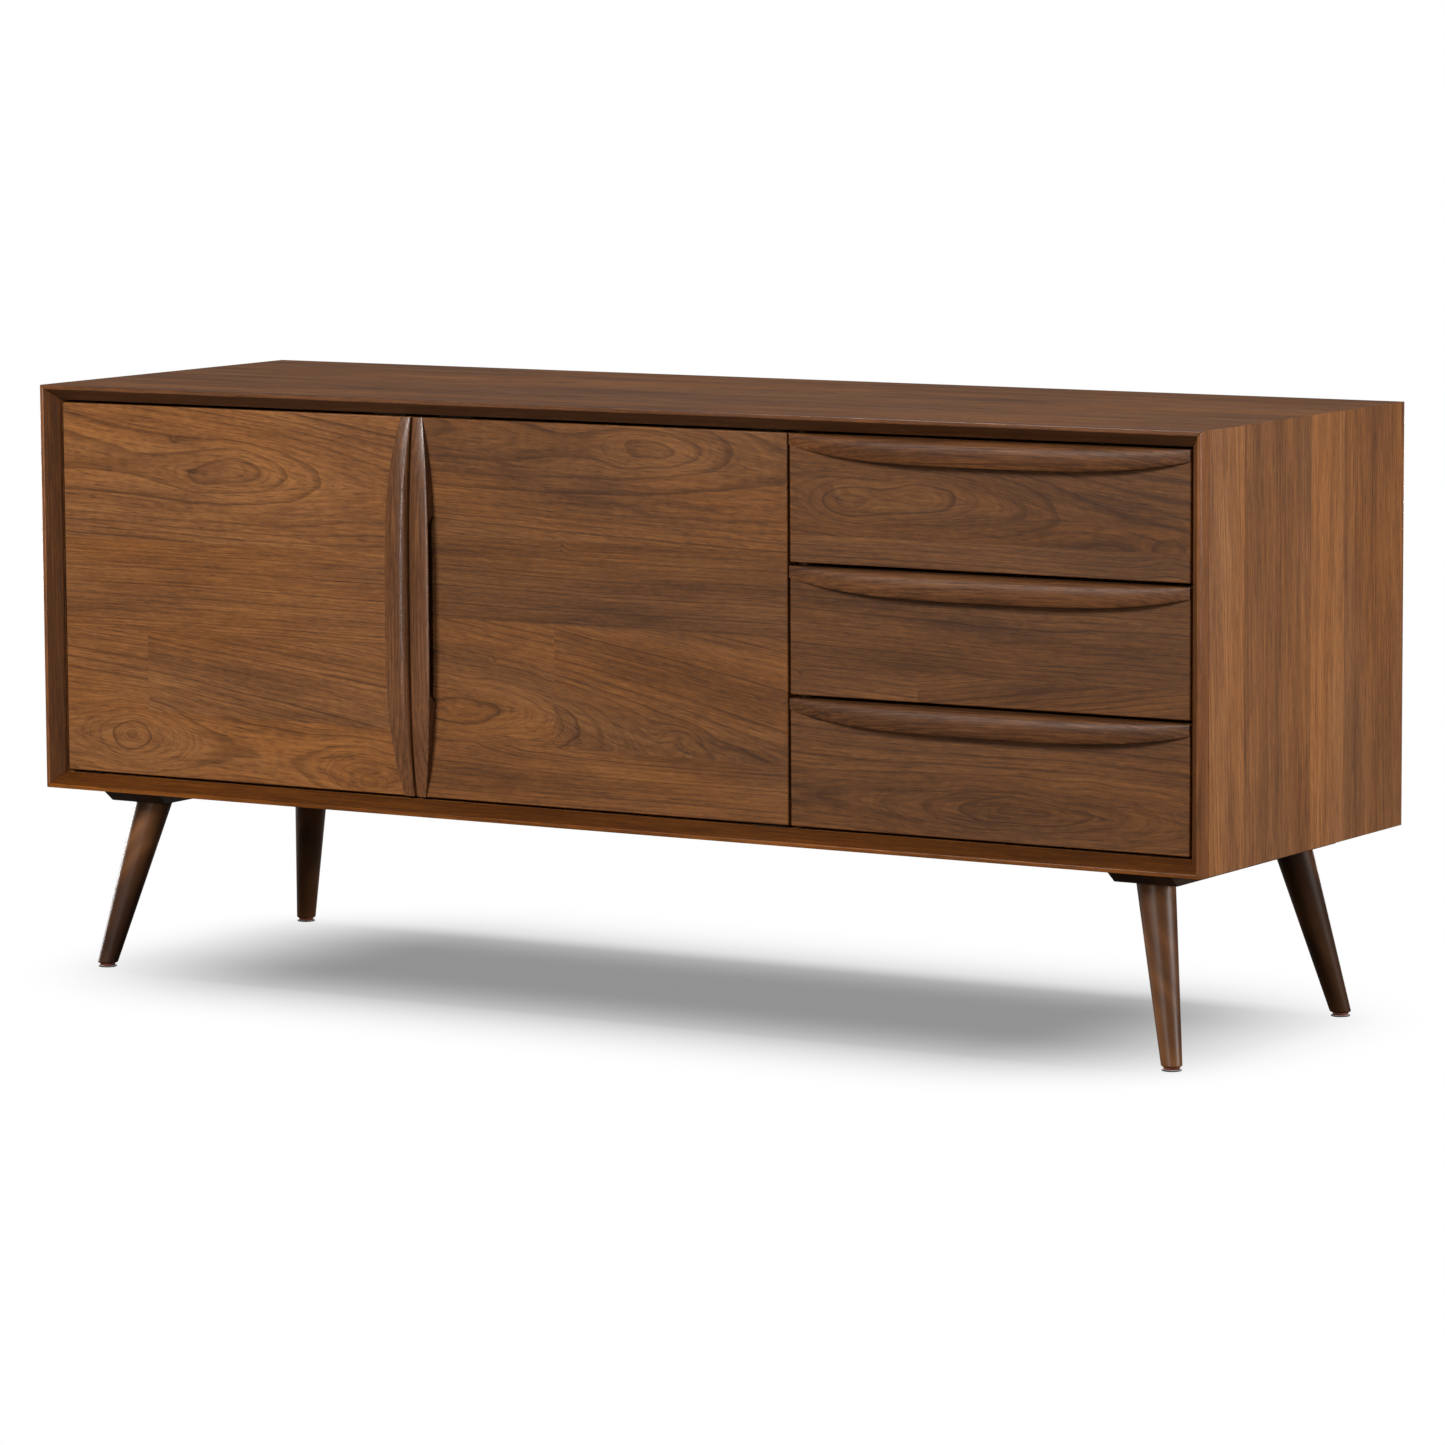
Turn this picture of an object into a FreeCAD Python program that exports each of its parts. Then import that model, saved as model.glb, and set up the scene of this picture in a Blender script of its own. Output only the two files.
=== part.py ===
import FreeCAD, Part
import Sketcher
import os
import re

# A sideboard buffet: a mitred walnut case with bevelled front edging, two hinged doors,
# three drawers on ball-bearing slides and four splayed legs on two leg rails.
# Frame: +X to the right along the length, +Y to the back, +Z up, millimetres.
# The origin is on the floor, at the middle of the whole outline.

SIZES = {
    # case
    "case_width": 1600, "case_depth": 510, "case_height": 497, "case_base": 225,
    "board": 18.5, "edging_depth": 20, "edging_flat": 5, "bevel_depth": 16,
    "back_thick": 6, "rebate": 8, "divider_thick": 18, "divider_setback": 12,
    # door and drawer fronts
    "front_inset": 17, "front_thick": 20, "front_gap": 3.5, "drawer_gap": 4.5,
    # shelf
    "shelf_thick": 18, "shelf_depth": 410, "shelf_under": 462, "shelf_play": 1,
    "peg_diameter": 5, "peg_length": 22, "peg_depth": 9, "peg_inset": 50,
    "peg_pitch": 32, "peg_margin": 0.2,
    # door pivots, catches and strikes
    "pivot_setback": 16, "pivot_diameter": 6, "pivot_length": 11, "running_gap": 0.05,
    "bush_diameter": 10, "bush_length": 12, "leaf_length": 44, "leaf_width": 13,
    "leaf_thick": 2, "catch_length": 46, "catch_depth": 14, "catch_height": 13,
    "catch_offset": 45, "strike_length": 38, "strike_height": 11, "strike_thick": 1,
    "catch_clearance": 0.6,
    # pulls
    "pull_width": 29.5, "pull_end_width": 13, "pull_rise": 18.5, "pull_end_rise": 1.5,
    "grip_length": 212, "grip_slant": 14, "grip_depth": 15, "grip_lip": 4,
    # drawer boxes
    "box_side": 12, "box_height": 108, "box_length": 430, "box_lift": 14,
    "box_bottom": 6, "box_groove": 5, "box_groove_lift": 10, "slide_space": 12.7,
    # drawer slides
    "slide_length": 400, "slide_height": 45, "slide_wall": 1.2, "slide_lift": 40,
    # legs and leg rails
    "rail_width": 81, "rail_thick": 19, "rail_setback": 32, "rail_bevel": 25,
    "rail_centre": 702, "leg_top_x": 699.5, "leg_foot_x": 743, "leg_top_y": 86,
    "leg_foot_y": 42.5, "leg_top_diameter": 44.8, "leg_foot_diameter": 24,
    "foot_height": 5, "glide_diameter": 19, "pad_diameter": 23, "pad_height": 1.5,
    "bolt_diameter": 8, "bolt_in_leg": 46,
    # screws
    "screw_diameter": 3.5, "screw_head": 7, "screw_head_height": 2, "screw_length": 22,
    "rail_screw_length": 32,
}

# Lengths and places worked out from the driving dimensions.
DERIVED = {
    "pull_proud": "(pull_rise - front_inset)",
    "front_y": "(pull_proud/2 - case_depth/2)",
    "back_y": "(front_y + case_depth)",
    "case_top": "(case_base + case_height)",
    "inner_x": "(case_width/2 - board)",
    "inner_low": "(case_base + board)",
    "inner_high": "(case_top - board)",
    "panel_y": "(front_y + edging_depth)",
    "panel_depth": "(case_depth - edging_depth)",
    "face_y": "(front_y + front_inset)",
    "face_back_y": "(face_y + front_thick)",
    "fronts_low": "(inner_low + front_gap)",
    "fronts_height": "(inner_high - inner_low - 2*front_gap)",
    "front_width": "((2*inner_x - 4*front_gap)/3)",
    "drawer_height": "((fronts_height - 2*drawer_gap)/3)",
    "left_door_x": "(front_gap - inner_x)",
    "right_door_x": "(left_door_x + front_width + front_gap)",
    "drawer_x": "(right_door_x + front_width + front_gap)",
    "divider_x": "(drawer_x - front_gap/2 - divider_thick/2)",
    "inside_y": "(face_back_y + divider_setback)",
    "inside_back_y": "(back_y - back_thick)",
    "shelf_y": "(inside_back_y - shelf_depth)",
    "pivot_y": "(face_y + front_thick/2)",
    "bay_left_x": "(divider_x + divider_thick)",
    "bay_width": "(inner_x - bay_left_x)",
    "box_width": "(bay_width - 2*slide_space)",
    "box_x": "(bay_left_x + slide_space)",
    "rail_low": "(case_base - rail_thick)",
    "leg_drop": "(rail_low - foot_height)",
    "leg_length": "sqrt(leg_drop^2 + (leg_foot_x - leg_top_x)^2 + (leg_top_y - leg_foot_y)^2)",
    "leg_taper": "((leg_top_diameter - leg_foot_diameter)/2/leg_length)",
}

DRAWERS = ("bottom", "middle", "top")
PULL_STATIONS = (-1.0, -0.93, -0.82, -0.66, -0.42, 0.0, 0.42, 0.66, 0.82, 0.93, 1.0)
PULL_FULLNESS = 3.4
# Corners of a pull's cross-section, as shares of its width and of its rise.
PULL_SECTION = ((0, 0), (0, 0.70), (0.08, 0.84), (0.45, 0.95), (0.85, 1.0), (0.97, 0.95), (1, 0.84), (1, 0))
LEG_SPARE = 20
FUNCTIONS = ("sqrt",)

doc = FreeCAD.newDocument("sideboard")
sheet = doc.addObject("Spreadsheet::Sheet", "Sizes")
nodes = []


def fill_sheet():
    """Writes every driving dimension and its alias into the sheet."""
    for row, (alias, value) in enumerate(SIZES.items(), start=1):
        sheet.set("A%d" % row, alias)
        sheet.set("B%d" % row, str(value))
        sheet.setAlias("B%d" % row, alias)
    doc.recompute()


def formula(text):
    """Turns a formula in plain names into an expression on the sheet's cells."""
    def expand(match):
        word = match.group(0)
        if word in FUNCTIONS:
            return word
        return formula(DERIVED[word]) if word in DERIVED else "Sizes." + word
    return re.sub(r"[a-z][a-z_]+", expand, str(text))


def number(text):
    """The value of a formula, in millimetres."""
    return float(sheet.evalExpression(formula(text).replace("Sizes.", "")))


def bind(obj, **formulas):
    """Binds properties of an object to formulas on the sheet."""
    for name, text in formulas.items():
        obj.setExpression(name, formula(text))


def place(obj, x=0, y=0, z=0):
    """Binds the place of an object to formulas on the sheet."""
    for axis, text in zip("xyz", (x, y, z)):
        obj.setExpression("Placement.Base." + axis, formula(text))


def node(label, obj):
    """Names an object as one of the pieces that are written out."""
    obj.Label = label
    nodes.append(obj)
    return obj


def block(name, corner, size):
    """A box from its lowest corner and its size."""
    obj = doc.addObject("Part::Box", name)
    bind(obj, Length=size[0], Width=size[1], Height=size[2])
    place(obj, *corner)
    return obj


def rod(name, centre, diameter, length, direction=(0, 0, 1)):
    """A round bar that starts at a point and runs along a direction."""
    obj = doc.addObject("Part::Cylinder", name)
    turn = FreeCAD.Rotation(FreeCAD.Vector(0, 0, 1), FreeCAD.Vector(*direction))
    obj.Placement = FreeCAD.Placement(FreeCAD.Vector(), turn)
    bind(obj, Radius="%s/2" % diameter, Height=length)
    place(obj, *centre)
    return obj


def cut(name, base, *tools):
    """The base with the tools taken away."""
    obj = doc.addObject("Part::Cut", name)
    obj.Base = base
    obj.Tool = tools[0] if len(tools) == 1 else group(name + "_tools", tools)
    return obj


def group(name, members):
    """Several separate solids as one object."""
    obj = doc.addObject("Part::Compound", name)
    obj.Links = list(members)
    return obj


def fuse(name, *members):
    """Several solids joined into one."""
    obj = doc.addObject("Part::MultiFuse", name)
    obj.Shapes = list(members)
    return obj


def plane(body, role):
    """One of a body's own origin planes."""
    return next(item for item in body.Origin.OriginFeatures if item.Role == role)


def polygon(body, name, role, corners, offset="0"):
    """A closed sketch whose corners are held at formulas on the sheet."""
    sketch = body.newObject("Sketcher::SketchObject", name)
    sketch.AttachmentSupport = [(plane(body, role), "")]
    sketch.MapMode = "FlatFace"
    sketch.setExpression("AttachmentOffset.Base.z", formula(offset))
    points = [FreeCAD.Vector(number(x), number(y), 0) for x, y in corners]
    for start, end in zip(points, points[1:] + points[:1]):
        sketch.addGeometry(Part.LineSegment(start, end), False)
    for index, (x, y) in enumerate(corners):
        previous = (index - 1) % len(corners)
        sketch.addConstraint(Sketcher.Constraint("Coincident", previous, 2, index, 1))
        for kind, text, value in (("DistanceX", x, points[index].x), ("DistanceY", y, points[index].y)):
            held = sketch.addConstraint(Sketcher.Constraint(kind, -1, 1, index, 1, value))
            sketch.setExpression("Constraints[%d]" % held, formula(text))
    return sketch


def prism(body, name, sketch, length, midplane=False, reverse=False):
    """Pads a sketch by a formula."""
    pad = body.newObject("PartDesign::Pad", name)
    pad.Profile = sketch
    bind(pad, Length=length)
    pad.Midplane = midplane
    pad.Reversed = reverse
    return pad


def pocket(body, name, sketch, length, reverse=False):
    """Takes a sketch's prism away, and makes sure that it removed something."""
    before = body.Tip.Shape.Volume
    taken = body.newObject("PartDesign::Pocket", name)
    taken.Profile = sketch
    bind(taken, Length=length)
    taken.Reversed = reverse
    doc.recompute()
    assert taken.Shape.Volume < before - 1, name + " removes nothing"
    return taken


def turned(obj, degrees):
    """Turns an object about the depth axis, and keeps its place."""
    obj.Placement.Rotation = FreeCAD.Rotation(FreeCAD.Vector(0, 1, 0), degrees)
    return obj


# The four sides of the case's ring of boards: turn, length and the middle of the outer face.
RING = {
    "top": (0, "case_width", ("0", "case_top")),
    "right": (90, "case_height", ("case_width/2", "case_base + case_height/2")),
    "bottom": (180, "case_width", ("0", "case_base")),
    "left": (-90, "case_height", ("-case_width/2", "case_base + case_height/2")),
}


def case_board(side):
    """One mitred board of the case, with the rebate for the back panel."""
    degrees, length, (x, z) = RING[side]
    body = doc.addObject("PartDesign::Body", side + "_board")
    inner = "(%s/2 - board)" % length
    outline = polygon(body, side + "_board_outline", "XZ_Plane", (
        ("-%s/2" % length, "0"), ("-" + inner, "-board"), (inner, "-board"), ("%s/2" % length, "0")))
    prism(body, side + "_board_pad", outline, "panel_depth", reverse=True)
    doc.recompute()
    reach = "(%s + rebate)" % inner
    step = polygon(body, side + "_rebate_outline", "XZ_Plane", (
        ("-" + reach, "-board"), (reach, "-board"), (reach, "rebate - board"),
        ("-" + reach, "rebate - board")), offset="-panel_depth")
    pocket(body, side + "_rebate", step, "back_thick", reverse=True)
    place(turned(body, degrees), x, "panel_y", z)
    return body


def front_edging(side):
    """One mitred length of the bevelled front edging."""
    degrees, length, (x, z) = RING[side]
    body = doc.addObject("PartDesign::Body", side + "_edging")
    section = polygon(body, side + "_edging_section", "YZ_Plane", (
        ("0", "0"), ("0", "-edging_flat"), ("bevel_depth", "-board"),
        ("edging_depth", "-board"), ("edging_depth", "0")))
    prism(body, side + "_edging_pad", section, length, midplane=True)
    doc.recompute()
    for end, sign in (("low", "-"), ("high", "")):
        corner = polygon(body, "%s_%s_mitre" % (side, end), "XZ_Plane", (
            ("%s%s/2" % (sign, length), "0"), ("%s(%s/2 + 1)" % (sign, length), "-board - 1"),
            ("%s(%s/2 - board - 1)" % (sign, length), "-board - 1")), offset="1")
        pocket(body, "%s_%s_mitre_cut" % (side, end), corner, "edging_depth + 2")
    node(side + "_front_edging", place_and_return(turned(body, degrees), x, "front_y", z))


def place_and_return(obj, x, y, z):
    """Binds an object's place and hands the object back."""
    place(obj, x, y, z)
    return obj


def peg_places(height_steps):
    """The places of the shelf peg holes: depth and height, both as formulas."""
    for step in height_steps:
        for y in ("shelf_y + peg_inset", "shelf_y + shelf_depth - peg_inset"):
            yield y, "shelf_under - peg_diameter/2 + %d*peg_pitch" % step


def peg_holes(name, face_x):
    """Blind holes for the shelf pegs, centred on a face of the bay."""
    holes = []
    for index, (y, z) in enumerate(peg_places((-1, 0, 1))):
        start = "%s - peg_depth - peg_margin" % face_x
        holes.append(rod("%s_%d" % (name, index), (start, y, z), "peg_diameter",
                         "2*(peg_depth + peg_margin)", (1, 0, 0)))
    return group(name, holes)


def build_case():
    """The case boards, front edging, back panel, divider, shelf and shelf pegs."""
    boards = {side: case_board(side) for side in RING}
    node("top_panel", boards["top"])
    node("bottom_panel", boards["bottom"])
    node("right_side_panel", boards["right"])
    node("left_side_panel", cut("left_side", boards["left"], peg_holes("left_peg_holes", "(0 - inner_x)")))
    for side in RING:
        front_edging(side)
    divider = block("divider_board", ("divider_x", "inside_y", "inner_low"),
                    ("divider_thick", "inside_back_y - inside_y", "inner_high - inner_low"))
    node("centre_divider", cut("divider", divider, peg_holes("divider_peg_holes", "divider_x")))
    node("adjustable_shelf", block(
        "shelf", ("shelf_play - inner_x", "shelf_y", "shelf_under"),
        ("divider_x + inner_x - 2*shelf_play", "shelf_depth - shelf_play", "shelf_thick")))
    pegs = []
    for index, (y, z) in enumerate(peg_places((0,))):
        for side, x in (("left", "0 - inner_x - peg_depth"), ("right", "divider_x + peg_depth - peg_length")):
            pegs.append(rod("peg_%s_%d" % (side, index), (x, y, z), "peg_diameter", "peg_length", (1, 0, 0)))
    node("shelf_pegs", group("pegs", pegs))


def build_back():
    """The back panel in its rebate, and the screws round its edge."""
    margin = "(rebate/2)"
    half = "(inner_x + rebate - 0.5)"
    low = "(inner_low - rebate + 0.5)"
    high = "(inner_high + rebate - 0.5)"
    board = block("back_board", ("0 - " + half, "inside_back_y", low),
                  ("2*" + half, "back_thick", "%s - %s" % (high, low)))
    places = [("%s*(%s - %s)" % (share, half, margin), z) for z in (low + " + " + margin, high + " - " + margin)
              for share in (-0.96, -0.58, -0.19, 0.19, 0.58, 0.96)]
    places += [("%s(%s - %s)" % (sign, half, margin), "(%s + %s)/2" % (low, high)) for sign in ("0 + ", "0 - ")]
    holes, screws = [], []
    for index, (x, z) in enumerate(places):
        holes.append(rod("back_hole_%d" % index, (x, "inside_back_y - 1", z), "screw_diameter",
                         "back_thick + 2", (0, 1, 0)))
        holes.append(rod("back_recess_%d" % index, (x, "back_y - screw_head_height", z), "screw_head",
                         "screw_head_height + 1", (0, 1, 0)))
        screws.append(screw("back_screw_%d" % index, (x, "back_y", z), (0, -1, 0)))
    node("back_panel", cut("back", board, *holes))
    node("back_screws", group("back_screw_set", screws))


def screw(name, head, direction, length="screw_length"):
    """A flat-headed screw whose head starts at a point and runs along a direction."""
    cap = rod(name + "_head", head, "screw_head", "screw_head_height", direction)
    shank = rod(name + "_shank", head, "screw_diameter", length, direction)
    return fuse(name, cap, shank)


def leg_ends(right, back):
    """The middle of a leg's top and of its foot, as formulas."""
    sign = "" if right else "0 - "
    edge = ("back_y - %s" if back else "front_y + %s")
    top = (sign + "leg_top_x", edge % "leg_top_y", "rail_low")
    foot = (sign + "leg_foot_x", edge % "leg_foot_y", "foot_height")
    return top, foot


def along(start, end, share):
    """A point part of the way from one point to another, as formulas."""
    return tuple("(%s) + ((%s) - (%s))*(%s)" % (a, b, a, share) for a, b in zip(start, end))


def build_legs():
    """Two leg rails, four splayed legs, their bolts, glides and felt pads."""
    bores = {"left": [], "right": []}
    bolts, glides, pads = [], [], []
    for end in ("front", "back"):
        for side in ("left", "right"):
            name = "%s_%s_leg" % (end, side)
            top, foot = leg_ends(side == "right", end == "back")
            direction = [number(b) - number(a) for a, b in zip(top, foot)]
            raised = along(top, foot, "-%d/leg_length" % LEG_SPARE)
            cone = doc.addObject("Part::Cone", name + "_cone")
            turn = FreeCAD.Rotation(FreeCAD.Vector(0, 0, 1), FreeCAD.Vector(*direction))
            cone.Placement = FreeCAD.Placement(FreeCAD.Vector(), turn)
            bind(cone, Radius1="leg_top_diameter/2 + %d*leg_taper" % LEG_SPARE,
                 Radius2="leg_foot_diameter/2 - %d*leg_taper" % LEG_SPARE,
                 Height="leg_length + 2*%d" % LEG_SPARE)
            place(cone, *raised)
            slab = block(name + "_slab", ("0 - case_width", "0 - case_depth", "foot_height"),
                         ("2*case_width", "2*case_depth", "leg_drop"))
            leg = doc.addObject("Part::Common", name + "_blank")
            leg.Base = cone
            leg.Tool = slab
            bore_start = along(top, foot, "-(rail_thick + 6)/leg_length")
            bore = rod(name + "_bore", bore_start, "bolt_diameter", "bolt_in_leg + rail_thick + 6", direction)
            bores[side].append(bore)
            node(name, cut(name + "_bored", leg, bore))
            bolt_start = along(top, foot, "-(rail_thick - 2)/leg_length")
            bolts.append(rod(name + "_bolt", bolt_start, "bolt_diameter",
                             "bolt_in_leg + rail_thick - 2", direction))
            glides.append(rod(name + "_glide", (foot[0], foot[1], "pad_height"), "glide_diameter",
                              "foot_height - pad_height"))
            pads.append(rod(name + "_pad", (foot[0], foot[1], "0"), "pad_diameter", "pad_height"))
    node("leg_bolts", group("leg_bolt_set", bolts))
    node("leg_glides", group("leg_glide_set", glides))
    node("glide_pads", group("glide_pad_set", pads))
    build_rails(bores)


def build_rails(bores):
    """The bevelled rails under the case that hold the legs, and their screws."""
    screws = []
    for side, sign in (("left", "0 - "), ("right", "")):
        body = doc.addObject("PartDesign::Body", side + "_rail_body")
        outline = polygon(body, side + "_rail_outline", "YZ_Plane", (
            ("front_y + rail_setback", "0"), ("front_y + rail_setback + rail_bevel", "-rail_thick"),
            ("back_y - rail_setback - rail_bevel", "-rail_thick"), ("back_y - rail_setback", "0")))
        prism(body, side + "_rail_pad", outline, "rail_width", midplane=True)
        place(body, sign + "rail_centre", "0", "case_base")
        holes = []
        for index, (dx, share) in enumerate(((a, b) for b in (-0.2, 0.0, 0.2) for a in (-1, 1))):
            head = ("%srail_centre + %d*rail_width/4" % (sign, dx), "%s*case_depth" % share, "rail_low")
            name = "%s_rail_screw_%d" % (side, index)
            screws.append(screw(name, head, (0, 0, 1), "rail_screw_length"))
            holes.append(screw(name + "_hole", head, (0, 0, 1), "rail_screw_length"))
        node(side + "_leg_rail", cut(side + "_rail", body, *(bores[side] + holes)))
    node("rail_screws", group("rail_screw_set", screws))


def pull(name, length, degrees, x, z):
    """A lens-shaped pull with a finger grip under its curved side."""
    body = doc.addObject("PartDesign::Body", name + "_body")
    sections = []
    for index, share in enumerate(PULL_STATIONS):
        full = 1 - abs(share) ** PULL_FULLNESS
        width = "(pull_end_width + (pull_width - pull_end_width)*%.4f)" % full
        rise = "(pull_end_rise + (pull_rise - pull_end_rise)*%.4f)" % full
        corners = [("%s*%s" % (across, width), "-%s*%s" % (out, rise)) for across, out in PULL_SECTION]
        sections.append(polygon(body, "%s_section_%d" % (name, index), "XY_Plane", corners,
                                offset="%s*%s/2" % (share, length)))
    doc.recompute()
    loft = body.newObject("PartDesign::AdditiveLoft", name + "_loft")
    loft.Profile = sections[0]
    loft.Sections = sections[1:]
    loft.Ruled = True
    doc.recompute()
    half = "(grip_length/2 %s grip_slant/2)"
    depth = "grip_lip - pull_rise"
    grip = polygon(body, name + "_grip_outline", "YZ_Plane", (
        ("1", "-" + half % "+"), (depth, "-" + half % "-"), (depth, half % "-"), ("1", half % "+")),
        offset="pull_width - grip_depth")
    pocket(body, name + "_grip", grip, "grip_depth + 5", reverse=True)
    place(turned(body, degrees), x, "face_y", z)
    return node(name, body)


def build_doors():
    """Two doors on pivot pins, with their pulls, bushes, strikes and catches."""
    pins, catches = [], []
    middle = "fronts_low + fronts_height/2"
    top = "(fronts_low + fronts_height)"
    doors = {
        "left": ("left_door_x", "left_door_x + pivot_setback", "left_door_x + front_width", 180, 1),
        "right": ("right_door_x", "right_door_x + front_width - pivot_setback", "right_door_x", 0, -1),
    }
    for side, (x, pivot_x, meeting_x, degrees, away) in doors.items():
        door = side + "_door"
        blank = block(door + "_blank", (x, "face_y", "fronts_low"), ("front_width", "front_thick", "fronts_height"))
        bores, bushes = [], []
        for end, low, leaf_z, pin_z in (
                ("lower", "fronts_low", "inner_low", "inner_low + leaf_thick"),
                ("upper", top + " - bush_length", "inner_high - leaf_thick",
                 "inner_high - leaf_thick - pivot_length")):
            name = "%s_%s" % (door, end)
            bores.append(rod(name + "_bore", (pivot_x, "pivot_y", low), "bush_diameter", "bush_length"))
            sleeve = rod(name + "_sleeve", (pivot_x, "pivot_y", low), "bush_diameter", "bush_length")
            hole = rod(name + "_hole", (pivot_x, "pivot_y", low), "(pivot_diameter + 2*running_gap)", "bush_length")
            bushes.append(cut(name + "_bush", sleeve, hole))
            leaf_x = "%s + (%d)*leaf_length/4 - leaf_length/2" % (pivot_x, away)
            leaf = block(name + "_leaf", (leaf_x, "pivot_y - leaf_width/2", leaf_z),
                         ("leaf_length", "leaf_width", "leaf_thick"))
            pins.append(fuse(name + "_pin_plate", leaf,
                             rod(name + "_pin", (pivot_x, "pivot_y", pin_z), "pivot_diameter", "pivot_length")))
        node(door + "_panel", cut(door + "_bored", blank, *bores))
        pull(door + "_pull", "fronts_height", degrees, meeting_x, middle)
        node(door + "_pivot_bushes", group(door + "_bushes", bushes))
        centre = "%s - (%d)*catch_offset" % (meeting_x, away)
        node(door + "_strike", block(door + "_strike_plate", (
            centre + " - strike_length/2", "face_back_y", top + " - strike_height - 1"),
            ("strike_length", "strike_thick", "strike_height")))
        catches.append(block(door + "_catch", (
            centre + " - catch_length/2", "face_back_y + strike_thick + catch_clearance",
            "inner_high - catch_height"), ("catch_length", "catch_depth", "catch_height")))
    node("door_pivot_pins", group("pivot_pin_set", pins))
    node("door_catches", group("catch_set", catches))


def channel(name, right, near, far, web_near, y, z, height):
    """A slide member: a channel whose web is on its near or far side from the cabinet wall."""
    def span(low, high):
        start = "inner_x - (%s)" % high if right else "bay_left_x + (%s)" % low
        return start, "(%s) - (%s)" % (high, low)
    x, width = span(near, far)
    outer = block(name + "_outer", (x, y, z + " - %s/2" % height), (width, "slide_length", height))
    inner_low = near + " + slide_wall" if web_near else near
    inner_high = far if web_near else far + " - slide_wall"
    x, width = span(inner_low, inner_high)
    hollow = block(name + "_hollow", (x, y, z + " - %s/2 + slide_wall" % height),
                   (width, "slide_length", height + " - 2*slide_wall"))
    return cut(name, outer, hollow)


def build_drawer(index, level):
    """One drawer: front, pull, box and the moving members of its two slides."""
    low = "(fronts_low + %d*(drawer_height + drawer_gap))" % index
    name = level + "_drawer"
    box_low = "(%s + box_lift)" % low
    groove_low = "(%s + box_groove_lift)" % box_low
    inside_x = "(box_x + box_side)"
    inside_width = "(box_width - 2*box_side)"
    node(name + "_front", block(name + "_front_board", ("drawer_x", "face_y", low),
                                ("front_width", "front_thick", "drawer_height")))
    pull(name + "_pull", "front_width", 90, "drawer_x + front_width/2", low + " + drawer_height")
    for side, x, groove_x in (
            ("left", "box_x", inside_x + " - box_groove"),
            ("right", inside_x + " + " + inside_width, inside_x + " + " + inside_width)):
        board = block("%s_%s_board" % (name, side), (x, "face_back_y", box_low),
                      ("box_side", "box_length", "box_height"))
        groove = block("%s_%s_groove" % (name, side), (groove_x, "face_back_y", groove_low),
                       ("box_groove", "box_length", "box_bottom"))
        node("%s_%s_side" % (name, side), cut("%s_%s_side_cut" % (name, side), board, groove))
    node(name + "_bottom", block(name + "_bottom_board", (inside_x + " - box_groove", "face_back_y", groove_low),
                                 (inside_width + " + 2*box_groove", "box_length", "box_bottom")))
    node(name + "_back", block(
        name + "_back_board", (inside_x, "face_back_y + box_length - box_side", groove_low + " + box_bottom"),
        (inside_width, "box_side", "box_height - box_groove_lift - box_bottom")))
    middle_z = "(%s + slide_lift)" % box_low
    fixed, middles, rails = [], [], []
    for side in ("left", "right"):
        right = side == "right"
        prefix = "%s_%s" % (name, side)
        fixed.append(channel(prefix + "_fixed", right, "0", "9.5", True, "inside_y + 2", middle_z, "slide_height"))
        middles.append(channel(prefix + "_middle", right, "3.2", "11", True, "inside_y + 2", middle_z,
                               "(slide_height - 6)"))
        rails.append(channel(prefix + "_rail", right, "5.5", "slide_space", False, "face_back_y + 2", middle_z,
                             "(slide_height - 12)"))
    node(name + "_slide_rails", group(name + "_rail_pair", rails))
    node(name + "_slide_middles", group(name + "_middle_pair", middles))
    return fixed


def check_document():
    """Stops if any object failed or any piece isn't a valid solid."""
    for obj in doc.Objects:
        assert not {"Invalid", "Error"} & set(obj.State), obj.Name + " failed"
    for obj in nodes:
        assert not obj.Shape.isNull() and obj.Shape.isValid(), obj.Label + " isn't valid"
        assert obj.Shape.Solids, obj.Label + " holds no solid"


fill_sheet()
build_case()
build_back()
build_legs()
build_doors()
fixed_members = []
for number_from_below, level_name in enumerate(DRAWERS):
    fixed_members += build_drawer(number_from_below, level_name)
node("cabinet_slides", group("fixed_member_set", fixed_members))
doc.recompute()
check_document()
os.makedirs("parts", exist_ok=True)
for piece in nodes:
    piece.Shape.exportStep("parts/%s.step" % piece.Label)
print("%d nodes written" % len(nodes))
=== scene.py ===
import logging
import math
from collections.abc import Iterable, Sequence
from dataclasses import dataclass
from enum import Enum
from typing import Any

import bmesh
import bpy
from mathutils import Matrix, Vector


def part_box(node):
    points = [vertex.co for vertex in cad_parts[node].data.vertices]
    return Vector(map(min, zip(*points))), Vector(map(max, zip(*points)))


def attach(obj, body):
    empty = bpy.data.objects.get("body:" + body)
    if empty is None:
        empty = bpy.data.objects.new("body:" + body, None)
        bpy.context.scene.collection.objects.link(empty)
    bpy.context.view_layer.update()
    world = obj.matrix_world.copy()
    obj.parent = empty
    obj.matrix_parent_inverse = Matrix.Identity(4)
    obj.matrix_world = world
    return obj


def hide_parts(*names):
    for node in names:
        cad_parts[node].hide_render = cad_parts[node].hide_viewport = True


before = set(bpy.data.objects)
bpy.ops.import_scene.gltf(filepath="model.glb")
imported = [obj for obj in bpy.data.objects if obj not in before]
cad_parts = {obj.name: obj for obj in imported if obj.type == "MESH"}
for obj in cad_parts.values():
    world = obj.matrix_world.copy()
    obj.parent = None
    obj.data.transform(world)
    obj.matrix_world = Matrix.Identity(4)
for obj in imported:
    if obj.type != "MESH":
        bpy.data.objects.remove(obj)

# A walnut sideboard. Lengths are in metres: +X to the right along the case, +Y to its back, +Z up.

log = logging.getLogger("sideboard")

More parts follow.
